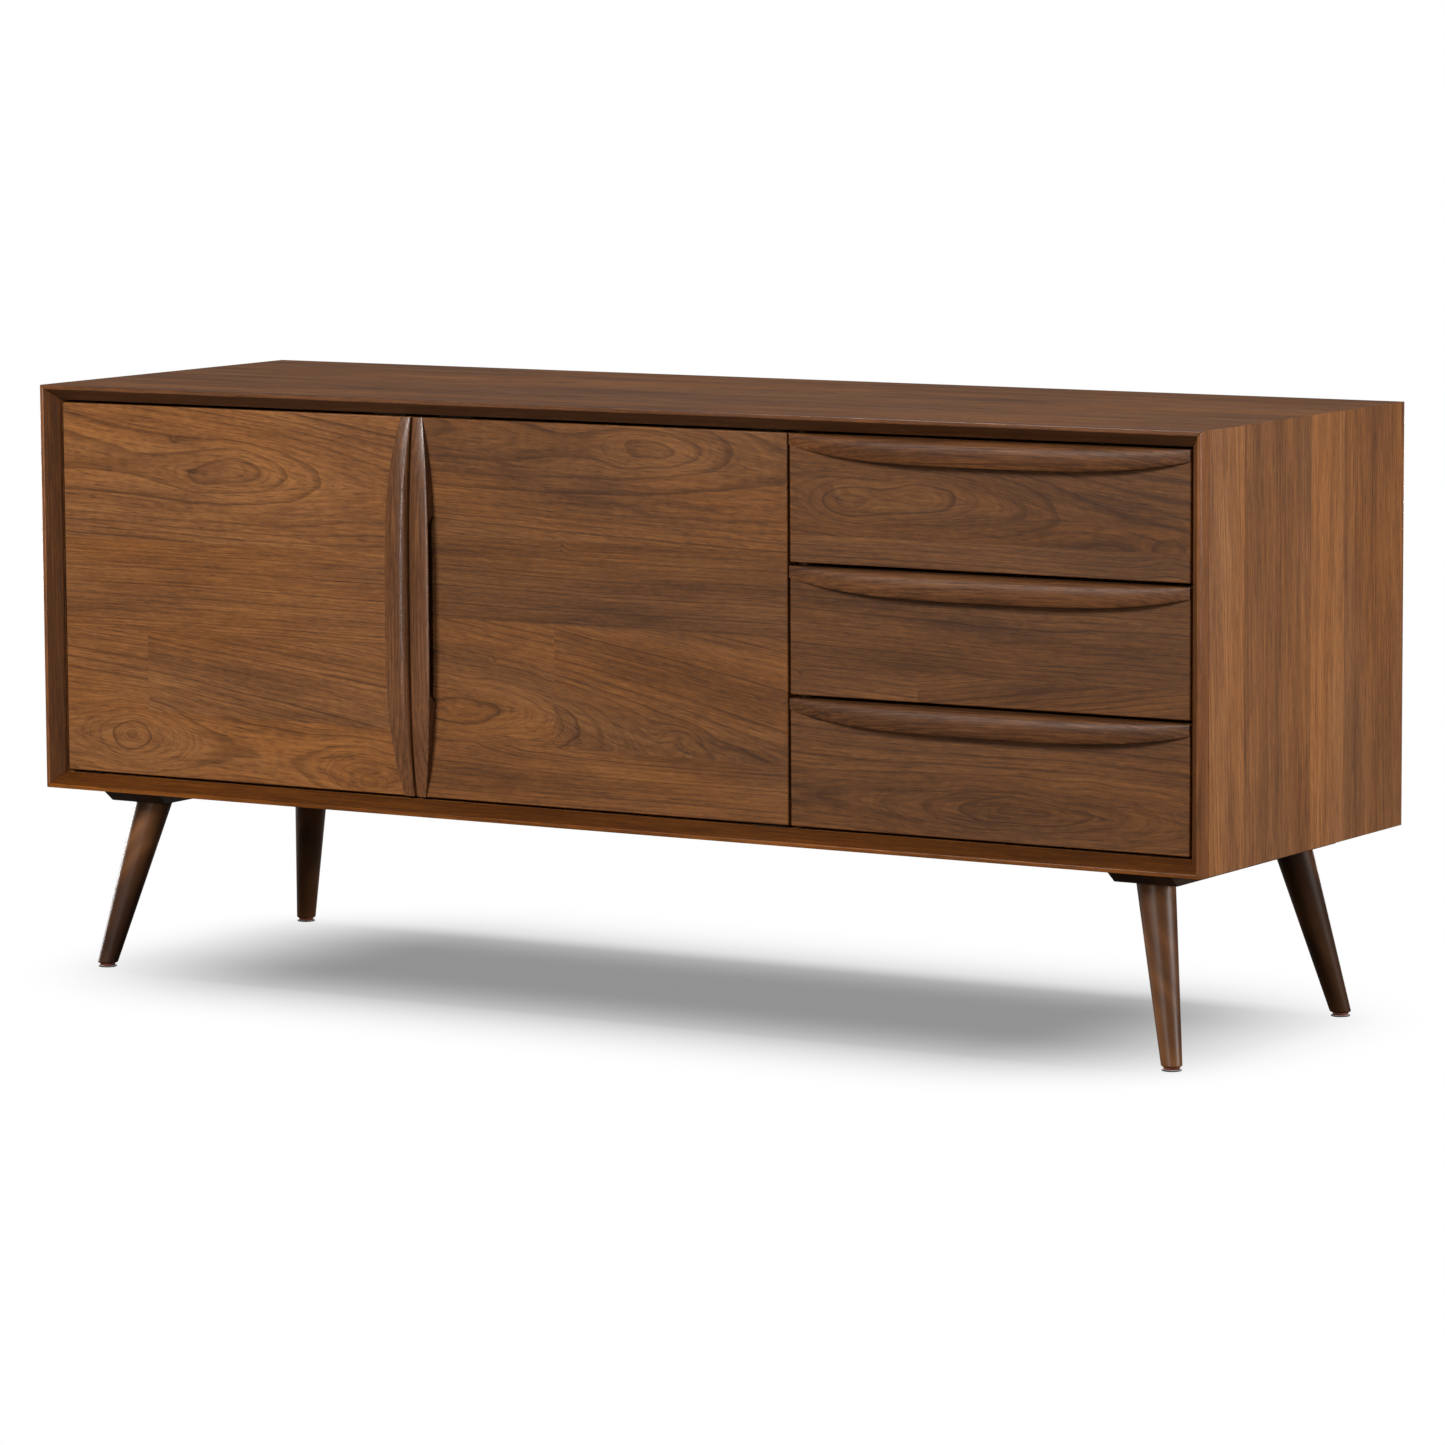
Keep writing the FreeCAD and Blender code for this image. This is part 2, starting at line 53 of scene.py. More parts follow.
Colour = tuple[float, float, float]
Material = bpy.types.Material
Mesh = bpy.types.Mesh
Piece = bpy.types.Object
Shape = bmesh.types.BMesh
Socket = bpy.types.NodeSocket
Tree = bpy.types.NodeTree
MERGE = 1e-6
FLAT_ANGLE, SHARP_ANGLE = 1.0, 25.0
THREAD_ANGLE, TURNED_ANGLE, ROUND_ANGLE = 30.0, 38.0, 50.0
EDGE_STEPS = 2
RIGHT, UP, BACK = Vector((1.0, 0.0, 0.0)), Vector((0.0, 0.0, 1.0)), Vector((0.0, 1.0, 0.0))


class Grain(Enum):
    """Which way a board's wood runs, as the axes along its fibres, across its face and through it."""

    LENGTHWISE_FLAT = (0, 1, 2)
    LENGTHWISE_UPRIGHT = (0, 2, 1)
    UPRIGHT_FACING_SIDE = (2, 1, 0)
    DEEP_FLAT = (1, 0, 2)
    DEEP_UPRIGHT = (1, 2, 0)


class Side(Enum):
    """The left or the right hand of the case, as a sign along X."""

    LEFT = -1
    RIGHT = 1


# ---------------------------------------------------------------------------------------------
# Node trees


class Wire:
    """A value in a node tree. Reckoning with it adds the nodes that do so."""

    def __init__(self, socket: Socket) -> None:
        """Holds an output socket."""
        self.socket = socket

    def reckon(self, operation: str, *others: Any) -> "Wire":
        """Adds a sum on numbers or vectors.

        Args:
            operation: The operation's name.
            others: Its operands after this one, as wires or plain values.

        Returns:
            The result.
        """
        kind = "ShaderNodeMath" if self.socket.type == "VALUE" else "ShaderNodeVectorMath"
        node = self.socket.id_data.nodes.new(kind)
        node.operation = operation
        for socket, value in zip((s for s in node.inputs if s.enabled), (self, *others)):
            feed(socket, value)
        return Wire(next(s for s in node.outputs if s.enabled))

    def __add__(self, other: Any) -> "Wire":
        """Adds a value."""
        return self.reckon("ADD", other)

    def __sub__(self, other: Any) -> "Wire":
        """Takes a value away."""
        return self.reckon("SUBTRACT", other)

    def __rsub__(self, other: float) -> "Wire":
        """Takes this away from a number."""
        return self.reckon("MULTIPLY_ADD", -1.0, other)

    def __mul__(self, other: Any) -> "Wire":
        """Multiplies by a value. A vector is scaled by a number."""
        number = isinstance(other, float) or isinstance(other, Wire) and other.socket.type == "VALUE"
        return self.reckon("SCALE" if number and self.socket.type != "VALUE" else "MULTIPLY", other)

    def __truediv__(self, other: Any) -> "Wire":
        """Divides by a value."""
        return self.reckon("DIVIDE", other)

    def clamped(self) -> "Wire":
        """Keeps a sum's result from 0 to 1."""
        self.socket.node.use_clamp = True
        return self


def feed(socket: Socket, value: Any) -> None:
    """Joins an input to a wire, or sets its value.

    Args:
        socket: The input.
        value: A wire or a plain value.
    """
    if isinstance(value, Wire):
        socket.id_data.links.new(value.socket, socket)
    else:
        socket.default_value = value


def live(sockets: Iterable[Socket], name: str) -> Socket:
    """Finds the socket of a name that is switched on."""
    return next(s for s in sockets if s.name == name and s.enabled)


def opaque(colour: Colour) -> tuple[float, float, float, float]:
    """Adds full opacity to a colour."""
    return (*colour, 1.0)


class NodeSheet:
    """A node tree being drawn up."""

    def __init__(self, tree: Tree) -> None:
        """Starts on an empty tree."""
        self.tree = tree

    def add(self, kind: str, inputs: dict[str, Any] | None = None, **settings: Any) -> bpy.types.Node:
        """Adds a node.

        Args:
            kind: The node's type name.
            inputs: Values or wires for its inputs, by name.
            settings: The node's own properties.

        Returns:
            The new node.
        """
        node = self.tree.nodes.new(kind)
        for name, value in settings.items():
            setattr(node, name, value)
        for name, value in (inputs or {}).items():
            feed(live(node.inputs, name), value)
        return node

    def wire(self, kind: str, inputs: dict[str, Any] | None = None, output: int | str = 0,
             **settings: Any) -> Wire:
        """Adds a node and takes one of its outputs, by its place or its name."""
        outputs = self.add(kind, inputs, **settings).outputs
        return Wire(live(outputs, output) if isinstance(output, str) else outputs[output])

    def split(self, vector: Wire) -> list[Wire]:
        """Parts a vector into its three numbers."""
        return [Wire(s) for s in self.add("ShaderNodeSeparateXYZ", {"Vector": vector}).outputs]

    def join(self, x: Any = 0.0, y: Any = 0.0, z: Any = 0.0) -> Wire:
        """Makes a vector of three numbers."""
        return self.wire("ShaderNodeCombineXYZ", {"X": x, "Y": y, "Z": z})

    def noise(self, place: Wire, stretch: Colour, detail: float, roughness: float = 0.5,
              output: int = 0) -> Wire:
        """Adds a noise from 0 to 1.

        Args:
            place: Where to read the noise.
            stretch: How many of its lumps fit in a metre, along each axis.
            detail: How many finer layers it has.
            roughness: How strong the finer layers are.
            output: 0 for one number, or 1 for three that don't depend on each other.

        Returns:
            The noise.
        """
        values = {"Vector": place * stretch, "Scale": 1.0, "Detail": detail, "Roughness": roughness}
        return self.wire("ShaderNodeTexNoise", values, output)

    def jitter(self, place: Wire, stretch: Colour, detail: float) -> Wire:
        """Adds three noises from -0.5 to 0.5."""
        return self.noise(place, stretch, detail, output=1) - (0.5, 0.5, 0.5)

    def ease(self, value: Wire, start: float, end: float, low: float = 0.0, high: float = 1.0) -> Wire:
        """Adds a smooth step from low, where the value is start, to high, where it is end."""
        spans = {"Value": value, "From Min": start, "From Max": end, "To Min": low, "To Max": high}
        return self.wire("ShaderNodeMapRange", spans, interpolation_type="SMOOTHSTEP")

    def blend(self, share: Any, first: Any, second: Any, mode: str = "MIX") -> Wire:
        """Mixes two colours.

        Args:
            share: How much of the second there is, which is kept from 0 to 1.
            first: The first colour.
            second: The second colour.
            mode: The way they are mixed.

        Returns:
            The mixed colour.
        """
        node = self.add("ShaderNodeMix", data_type="RGBA", blend_type=mode, clamp_factor=True)
        for socket, value in zip((s for s in node.inputs if s.enabled), (share, first, second)):
            feed(socket, opaque(value) if isinstance(value, tuple) else value)
        return Wire(live(node.outputs, "Result"))

    def shade(self, share: Wire, first: Wire, second: Wire) -> Wire:
        """Mixes two surfaces.

        Args:
            share: How much of the second there is.
            first: The first surface.
            second: The second surface.

        Returns:
            The mixed surface.
        """
        node = self.add("ShaderNodeMixShader")
        for socket, value in zip(node.inputs, (share, first, second)):
            feed(socket, value)
        return Wire(node.outputs[0])

    def use(self, group: Tree, values: dict[str, Any]) -> dict[str, Wire]:
        """Places a group in the tree.

        Args:
            group: The group.
            values: What its inputs are fed, by name.

        Returns:
            Its outputs, by name.
        """
        node = self.add("ShaderNodeGroup", node_tree=group)
        for name, value in values.items():
            feed(node.inputs[name], value)
        return {s.name: Wire(s) for s in node.outputs}


def clean_sheet(holder: Material | bpy.types.World) -> NodeSheet:
    """Empties a material's or a world's node tree.

    Args:
        holder: The material or world.

    Returns:
        The sheet of its tree.
    """
    holder.use_nodes = True
    holder.node_tree.nodes.clear()
    return NodeSheet(holder.node_tree)


def new_group(name: str, kind: str, inputs: dict[str, str], outputs: dict[str, str]) -> tuple[
        NodeSheet, dict[str, Wire], dict[str, Socket]]:
    """Starts a node group.

    Args:
        name: The group's name.
        kind: Shader or Geometry.
        inputs: The names of its inputs, by their kind of socket.
        outputs: The names of its outputs, by their kind of socket.

    Returns:
        The sheet to draw on, the group's inputs to read and its outputs to feed, both by name.
    """
    tree = bpy.data.node_groups.new(name, kind + "NodeTree")
    for way, labels in (("INPUT", inputs), ("OUTPUT", outputs)):
        for socket, names in labels.items():
            for label in names.split(", "):
                tree.interface.new_socket(name=label, in_out=way, socket_type="NodeSocket" + socket)
    sheet = NodeSheet(tree)
    given = {s.name: Wire(s) for s in sheet.add("NodeGroupInput").outputs}
    return sheet, given, {s.name: s for s in sheet.add("NodeGroupOutput").inputs}


class ShaderGroups:
    """The effects that several finishes share, each drawn up once."""

    def __init__(self) -> None:
        """Draws up every group."""
        self.figure = self._figure()
        self.eye = self._eye()
        self.worn = self._worn()
        self.plating = self._plating()

    @staticmethod
    def _figure() -> Tree:
        """Draws the wood's growth rings, fibre, pores and drifting tone.

        Returns:
            The group's tree.
        """
        sheet, given, wanted = new_group("wood_figure", "Shader", {
            "Vector": "Grain", "Color": "Pale, Body, Deep, Line",
            "Float": "Swirl, Knot, Tone, Ring Width, Sway, Lines, Streaks, Ripple, Gloss"},
            {"Color": "Color", "Float": "Roughness, Height"})
        grain, sway, streaks, tone = (given[name] for name in ("Grain", "Sway", "Streaks", "Tone"))
        slow = sheet.jitter(grain, (1.6, 7.0, 7.0), 1.0) * (sway * 1.7)
        quick = sheet.jitter(grain, (10.0, 60.0, 60.0), 2.0) * (sway * 0.22)
        x, y, z = sheet.split(grain + (slow + quick) * (0.0, 1.0, 1.0))
        heart = (y * y + z * z).reckon("SQRT") + given["Swirl"]
        uneven = sheet.wire("ShaderNodeTexNoise", {"W": heart, "Scale": 21.0, "Detail": 1.0},
                            noise_dimensions="1D")
        ring = heart / given["Ring Width"] + uneven * 3.0
        late = ShaderGroups._late_wood(sheet, ring, 0.45, 0.95)
        fine = ShaderGroups._late_wood(sheet, ring * 3.73, 0.30, 0.85)
        fibre = sheet.join(x, heart * 0.7 + y.reckon("ABSOLUTE") * 0.45, z)
        streak = sheet.noise(fibre, (12.0, 430.0, 150.0), 3.0, 0.68)
        hair = sheet.noise(fibre, (26.0, 900.0, 700.0), 2.0, 0.65)
        band = sheet.noise(fibre, (3.2, 32.0, 19.0), 3.0, 0.6)
        drift = sheet.noise(grain, (1.7, 9.0, 9.0), 2.0)
        ripple = sheet.noise(fibre, (85.0, 240.0, 90.0), 1.0)
        pores = sheet.ease(sheet.noise(fibre, (48.0, 1250.0, 900.0), 1.0), 0.55, 0.70)
        pores = pores * sheet.ease(streak, 0.35, 0.65, 0.25, 1.0)
        # Tone carries the board's own tone and any painted shade laid on it; a lower tone darkens the colour.
        depth = (streak - 0.5) * (streaks * 4.8) + (hair - 0.5) * (streaks * 3.4) + (band - 0.5) * 2.5
        depth = depth + (ripple - 0.5) * (given["Ripple"] * 1.8) + late * 0.30 - tone * 0.5
        wood = sheet.blend(depth * -1.0, given["Body"], given["Pale"])
        wood = sheet.blend(depth, wood, given["Deep"])
        drawn = late.reckon("MAXIMUM", fine * 0.45)
        for share in (drawn * given["Lines"], pores * 0.68, given["Knot"]):
            wood = sheet.blend(share, wood, given["Line"])
        hue = sheet.blend(sheet.ease(drift, 0.32, 0.68), (1.05, 1.0, 0.86), (0.95, 0.99, 1.08))
        wood = sheet.blend(1.0, wood, hue, "MULTIPLY")
        feed(wanted["Color"], wood * (tone * 0.25 + 1.0))
        feed(wanted["Roughness"], (hair - 0.5) * 0.12 + given["Gloss"] + pores * 0.16)
        feed(wanted["Height"], hair * 0.35 - pores - late * 0.25)
        return sheet.tree

    @staticmethod
    def _late_wood(sheet: NodeSheet, ring: Wire, start: float, crest: float) -> Wire:
        """Draws the dark end of each year's growth, some years stronger than others.

        Args:
            sheet: The sheet to draw on.
            ring: The count of rings from the heart.
            start: Where in a ring it begins to darken.
            crest: Where it is darkest.

        Returns:
            The darkness.
        """
        phase = ring.reckon("FRACT")
        chance = sheet.wire("ShaderNodeTexWhiteNoise", {"W": ring.reckon("FLOOR")}, "Value",
                            noise_dimensions="1D")
        rise = sheet.ease(phase, start, crest)
        return rise * rise * sheet.ease(phase, crest, 1.0, 1.0, 0.0) * (chance * 0.85 + 0.15)

    @staticmethod
    def _eye() -> Tree:
        """Draws the rings' bulge round an eye or a knot.

        Returns:
            The group's tree.
        """
        sheet, given, wanted = new_group("eye", "Shader", {
            "Vector": "Place, Middle, Reach", "Float": "Bulge, Core"}, {"Float": "Swirl, Knot"})
        bent = given["Place"] + sheet.jitter(given["Place"], (11.0, 11.0, 17.0), 1.0) * 0.03
        share = (bent - given["Middle"]) / given["Reach"]
        square = share.reckon("DOT_PRODUCT", share)
        feed(wanted["Swirl"], (square * -1.0).reckon("EXPONENT") * given["Bulge"])
        feed(wanted["Knot"], (square * -9.0).reckon("EXPONENT") * given["Core"])
        return sheet.tree

    @staticmethod
    def _worn() -> Tree:
        """Draws handled edges and the faint marks of hands and cloths.

        Returns:
            The group's tree.
        """
        sheet, given, wanted = new_group("worn", "Shader", {
            "Color": "Color", "Vector": "Place", "Float": "Roughness, Edge, Rub"},
            {"Color": "Color", "Float": "Roughness"})
        patch = sheet.ease(sheet.noise(given["Place"], (38.0, 38.0, 38.0), 3.0, 0.6), 0.36, 0.66)
        rubbed = (given["Edge"] * patch * given["Rub"]).clamped()
        bright = sheet.blend(1.0, given["Color"], (1.65, 1.5, 1.38), "MULTIPLY")
        feed(wanted["Color"], sheet.blend(rubbed, given["Color"], bright))
        marks = sheet.noise(given["Place"], (7.0, 7.0, 7.0), 4.0, 0.62) - 0.5
        feed(wanted["Roughness"], marks * 0.12 + given["Roughness"] - rubbed * 0.08)
        return sheet.tree

    @staticmethod
    def _plating() -> Tree:
        """Draws rolled, plated steel.

        Returns:
            The group's tree.
        """
        sheet, given, wanted = new_group("plating", "Shader", {
            "Vector": "Place", "Color": "Bright, Dull", "Float": "Gloss"},
            {"Color": "Color", "Float": "Roughness, Height"})
        drawn = sheet.noise(given["Place"], (1500.0, 30.0, 1500.0), 2.0)
        bloom = sheet.noise(given["Place"], (55.0, 55.0, 55.0), 4.0, 0.65)
        feed(wanted["Color"], sheet.blend(sheet.ease(bloom, 0.35, 0.7), given["Bright"], given["Dull"]))
        feed(wanted["Roughness"], (bloom - 0.5) * 0.3 + given["Gloss"] + (drawn - 0.5) * 0.2)
        feed(wanted["Height"], drawn)
        return sheet.tree


# ---------------------------------------------------------------------------------------------
# Finishes


@dataclass(frozen=True)
class Eye:
    """A place where the figure closes into an oval, or a small knot.

    Attributes:
        x: Its middle along the front.
        z: Its middle's height.
        length: How far it reaches along the grain.
        height: How far it reaches across the grain.
        bulge: How far the rings are pushed out.
        core: How dark its middle is, from 0 to 1.
    """

    x: float
    z: float
    length: float
    height: float
    bulge: float
    core: float = 0.0


@dataclass(frozen=True)
class Finish:
    """What every finish has.

    Attributes:
        name: Its name.
        rub: How worn its edges are.
        strength: How strong its relief is.
        relief: How deep its relief is.
    """

    name: str

    rub = 0.5
    strength = 0.6
    relief = 0.00012

    def figure(self, sheet: NodeSheet, groups: ShaderGroups, place: Wire) -> dict[str, Wire]:
        """Draws the Color, Roughness and Height at a place on the piece."""
        raise NotImplementedError

    def uniform(self) -> dict[str, float]:
        """Gives the surface's values that are the same all over."""
        raise NotImplementedError

    def dress(self, groups: ShaderGroups) -> Material:
        """Mixes the finish.

        Args:
            groups: The shared effects.

        Returns:
            The finish's material.
        """
        material = bpy.data.materials.new(self.name)
        sheet = clean_sheet(material)
        surface = sheet.add("ShaderNodeBsdfPrincipled")
        sheet.add("ShaderNodeOutputMaterial", {"Surface": Wire(surface.outputs[0])})
        place = sheet.wire("ShaderNodeTexCoord", output="Object")
        figure = self.figure(sheet, groups, place)
        edge = sheet.wire("ShaderNodeAttribute", output="Fac", attribute_name="edge")
        worn = sheet.use(groups.worn, {
            "Color": figure["Color"], "Roughness": figure["Roughness"], "Place": place, "Edge": edge,
            "Rub": self.rub})
        bump = {"Height": figure["Height"], "Strength": self.strength, "Distance": self.relief}
        values = {"Base Color": worn["Color"], "Roughness": worn["Roughness"],
                  "Normal": sheet.wire("ShaderNodeBump", bump), **self.uniform()}
        for name, value in values.items():
            feed(surface.inputs[name], value)
        return material


@dataclass(frozen=True)
class WoodFinish(Finish):
    """Lacquered wood.

    Attributes:
        pale: Its lightest wood.
        body: Its main colour.
        deep: Its darkest wood.
        line: The ring lines.
        ring_width: One year's growth.
        sway: How far the rings wander.
        lines: How strong the ring lines are.
        streaks: How strong the fibre streaks are.
        ripple: How strong the light across the fibres is.
        gloss: The surface's roughness.
        coat: How much clear lacquer shows.
        shine: How strongly the wood itself mirrors.
        rub: How worn its edges are.
        eyes: The eyes and knots in its figure.
    """

    pale: Colour
    body: Colour
    deep: Colour
    line: Colour
    ring_width: float = 0.0042
    sway: float = 0.010
    lines: float = 0.55
    streaks: float = 0.55
    ripple: float = 0.35
    gloss: float = 0.42
    coat: float = 0.0
    shine: float = 0.30
    rub: float = 0.5
    eyes: tuple[Eye, ...] = ()

    def figure(self, sheet: NodeSheet, groups: ShaderGroups, place: Wire) -> dict[str, Wire]:
        """Draws the wood, with its rings pushed out round each eye.

        Args:
            sheet: The material's sheet.
            groups: The shared effects.
            place: Where on the piece it is.

        Returns:
            Its Color, Roughness and Height.
        """
        values: dict[str, Any] = {
            "Grain": sheet.wire("ShaderNodeAttribute", output="Vector", attribute_name="grain"),
            "Tone": sheet.wire("ShaderNodeAttribute", output="Fac", attribute_name="tone")}
        for name in ("Ring Width", "Sway", "Lines", "Streaks", "Ripple", "Gloss"):
            values[name] = getattr(self, name.lower().replace(" ", "_"))
        for name in ("Pale", "Body", "Deep", "Line"):
            values[name] = opaque(getattr(self, name.lower()))
        for eye in self.eyes:
            swirl = sheet.use(groups.eye, {
                "Place": place, "Middle": (eye.x, 0.0, eye.z), "Reach": (eye.length, 10.0, eye.height),
                "Bulge": eye.bulge, "Core": eye.core})
            for name, wire in swirl.items():
                values[name] = values[name] + wire if name in values else wire
        return sheet.use(groups.figure, values)

    def uniform(self) -> dict[str, float]:
        """Gives the wood's shine and its lacquer."""
        return {"Specular IOR Level": self.shine, "Coat Weight": self.coat, "Coat Roughness": 0.2}


@dataclass(frozen=True)
class SteelFinish(Finish):
    """Plated steel, with its clean colour, its clouded colour and its roughness."""

    bright: Colour
    dull: Colour
    gloss: float

    strength = 0.3
    relief = 0.00005

    def figure(self, sheet: NodeSheet, groups: ShaderGroups, place: Wire) -> dict[str, Wire]:
        """Draws the plating at a place on the piece."""
        return sheet.use(groups.plating, {
            "Place": place, "Bright": opaque(self.bright), "Dull": opaque(self.dull), "Gloss": self.gloss})

    def uniform(self) -> dict[str, float]:
        """Makes it a metal."""
        return {"Metallic": 1.0}


@dataclass(frozen=True)
class MattFinish(Finish):
    """Moulded plastic, or felt.

    Attributes:
        light: Its raised colour.
        dark: Its colour in the hollows.
        grains: How many of its grains fit in a metre.
        relief: How deep its texture is.
        gloss: The surface's roughness.
        fuzz: How much soft light its fibres catch.
    """

    light: Colour
    dark: Colour
    grains: float
    relief: float = 0.00006
    gloss: float = 0.45
    fuzz: float = 0.0

    strength = 0.7

    def figure(self, sheet: NodeSheet, groups: ShaderGroups, place: Wire) -> dict[str, Wire]:
        """Draws its grains, and broad patches thirty times their size.

        Args:
            sheet: The material's sheet.
            groups: The shared effects, which are not used here.
            place: Where on the piece it is.

        Returns:
            Its Color, Roughness and Height.
        """
        grains = sheet.noise(place, (self.grains,) * 3, 3.0, 0.65)
        broad = sheet.noise(place, (self.grains / 30.0,) * 3, 2.0)
        colour = sheet.blend(broad * 0.5 + grains * 0.5, self.dark, self.light)
        return {"Color": colour, "Roughness": grains * 0.15 + self.gloss, "Height": grains}

    def uniform(self) -> dict[str, float]:
        """Gives its fuzz."""
        return {"Sheen Weight": self.fuzz}


WALNUT_LINE = (0.040, 0.016, 0.007)
CASE_WALNUT = WoodFinish("case_walnut", (0.345, 0.146, 0.050), (0.222, 0.088, 0.030), (0.112, 0.043, 0.016),
                         WALNUT_LINE, ring_width=0.0052, sway=0.006, lines=0.50, streaks=0.60, gloss=0.42)
EDGING_WALNUT = WoodFinish("edging_walnut", (0.285, 0.112, 0.040), (0.185, 0.070, 0.025),
                           (0.105, 0.040, 0.015), WALNUT_LINE, ring_width=0.0036, sway=0.004,
                           lines=0.4, gloss=0.34, coat=0.15)
# Painted shade: a darker, more orange copy of the edging walnut for the bottom length, whose bevel lies in
# shade.
LOWER_EDGING_PAINTED_SHADE_WALNUT = WoodFinish("lower_edging_walnut", (0.250, 0.083, 0.015), (0.150, 0.046, 0.007),
                                 (0.085, 0.025, 0.004), (0.040, 0.014, 0.004), ring_width=0.0036, sway=0.004,
                                 lines=0.5, gloss=0.40, shine=0.16)
DOOR_PULL_WALNUT = WoodFinish("door_pull_walnut", (0.235, 0.098, 0.040), (0.140, 0.056, 0.023),
                              (0.060, 0.024, 0.011), (0.025, 0.011, 0.006), ring_width=0.005, sway=0.005,
                              lines=0.5, streaks=0.60, gloss=0.27, shine=0.48)
DRAWER_PULL_WALNUT = WoodFinish("drawer_pull_walnut", (0.185, 0.074, 0.026), (0.108, 0.041, 0.015),
                                (0.050, 0.019, 0.008), (0.025, 0.011, 0.006), ring_width=0.005, sway=0.005,
                                lines=0.5, streaks=0.65, gloss=0.46, shine=0.20)
LEG_WALNUT = WoodFinish("leg_walnut", (0.240, 0.100, 0.036), (0.100, 0.040, 0.016), (0.030, 0.013, 0.007),
                        (0.016, 0.007, 0.004), ring_width=0.0045, sway=0.007, lines=0.85, streaks=0.95,
                        gloss=0.36, shine=0.24)
RAIL_WOOD = WoodFinish("rail_wood", (0.100, 0.048, 0.026), (0.055, 0.026, 0.015), (0.028, 0.014, 0.009),
                       (0.012, 0.006, 0.004), sway=0.005, gloss=0.5)
INNER_WALNUT = WoodFinish("inner_walnut", (0.33, 0.15, 0.065), (0.225, 0.098, 0.042), (0.14, 0.06, 0.026),
                          WALNUT_LINE, ring_width=0.0055, sway=0.008, lines=0.35, gloss=0.46)
DRAWER_WOOD = WoodFinish("drawer_wood", (0.68, 0.50, 0.30), (0.58, 0.40, 0.225), (0.44, 0.28, 0.15),
                         (0.33, 0.19, 0.09), ring_width=0.006, sway=0.010, lines=0.4, streaks=0.25,
                         gloss=0.44)
SLIDE_STEEL = SteelFinish("slide_steel", (0.68, 0.69, 0.71), (0.44, 0.45, 0.47), 0.32)
FIXING_STEEL = SteelFinish("fixing_steel", (0.62, 0.60, 0.55), (0.36, 0.34, 0.30), 0.30)
# Painted shade: near-black steel for the door pivots, whose plates show in the gaps, so those gaps read as
# dark as shade.
PAINTED_SHADE_STEEL = SteelFinish("bronzed_steel", (0.030, 0.022, 0.016), (0.014, 0.010, 0.008), 0.5)
CATCH_PLASTIC = MattFinish("catch_plastic", (0.11, 0.075, 0.055), (0.06, 0.04, 0.03), 2600.0, 0.00006, 0.45)
GLIDE_PLASTIC = MattFinish("glide_plastic", (0.26, 0.075, 0.045), (0.14, 0.04, 0.025), 2200.0, 0.00006, 0.42)
PAD_FELT = MattFinish("pad_felt", (0.05, 0.047, 0.045), (0.012, 0.012, 0.012), 3800.0, 0.0004, 0.85, 0.6)

FRONT_FIGURE = {
    "left_door": (
        Eye(-0.680, 0.296, 0.062, 0.038, -0.0205), Eye(-0.522, 0.620, 0.105, 0.034, -0.0145),
        Eye(-0.329, 0.257, 0.060, 0.036, -0.013), Eye(-0.612, 0.664, 0.006, 0.005, 0.003, 0.5),
    ),
    "right_door": (
        Eye(0.089, 0.672, 0.085, 0.030, -0.012), Eye(-0.175, 0.354, 0.150, 0.040, -0.024),
        Eye(0.115, 0.341, 0.022, 0.014, -0.009, 0.35), Eye(-0.051, 0.560, 0.006, 0.009, 0.004, 0.6),
        Eye(-0.147, 0.412, 0.005, 0.005, 0.003, 0.5),
    ),
    "top_drawer": (
        Eye(0.331, 0.619, 0.045, 0.026, -0.012), Eye(0.752, 0.581, 0.040, 0.024, -0.010),
        Eye(0.631, 0.609, 0.004, 0.003, 0.002, 0.5), Eye(0.440, 0.632, 0.110, 0.034, -0.020),
    ),
    "middle_drawer": (
        Eye(0.277, 0.428, 0.007, 0.006, 0.004, 0.6), Eye(0.560, 0.470, 0.130, 0.030, -0.006),
    ),
    "bottom_drawer": (
        Eye(0.574, 0.281, 0.165, 0.030, -0.022),
    ),
}
# Painted shade: each front's colours are scaled down, the more so towards the right, standing in for light
# that falls off from the left.
FRONT_PAINTED_SHADE = {"left_door": 0.95, "right_door": 0.83, "top_drawer": 0.75, "middle_drawer": 0.75,
               "bottom_drawer": 0.78}


def front_walnut(leaf: str) -> WoodFinish:
    """The figured walnut of one door or drawer front, darkened by that front's painted shade.

    Args:
        leaf: The door's or drawer's name.

    Returns:
        Its finish.
    """
    pale, body, deep = (tuple(part * FRONT_PAINTED_SHADE[leaf] for part in colour) for colour in (
        (0.330, 0.136, 0.042), (0.208, 0.080, 0.025), (0.100, 0.038, 0.013)))
    return WoodFinish("front_walnut_" + leaf, pale, body, deep, WALNUT_LINE, ring_width=0.0050, sway=0.009,
                      lines=0.66, streaks=0.44, ripple=0.5, gloss=0.46, shine=0.22, rub=0.25,
                      eyes=FRONT_FIGURE[leaf])


class Finishes:
    """Every finish that has been mixed, by name."""

    def __init__(self) -> None:
        """Draws up the shared effects."""
        self.groups = ShaderGroups()
        self.mixed: dict[str, Material] = {}

    def of(self, finish: Finish) -> Material:
        """Mixes a finish the first time it is asked for.

        Args:
            finish: The finish.

        Returns:
            Its material.
        """
        if finish.name not in self.mixed:
            self.mixed[finish.name] = finish.dress(self.groups)
        return self.mixed[finish.name]


# ---------------------------------------------------------------------------------------------
# Shapes


@dataclass(frozen=True)
class Part:
    """A working part, the body that it moves with and the record's slot for its finish."""

    node: str
    body: str
    slot: str


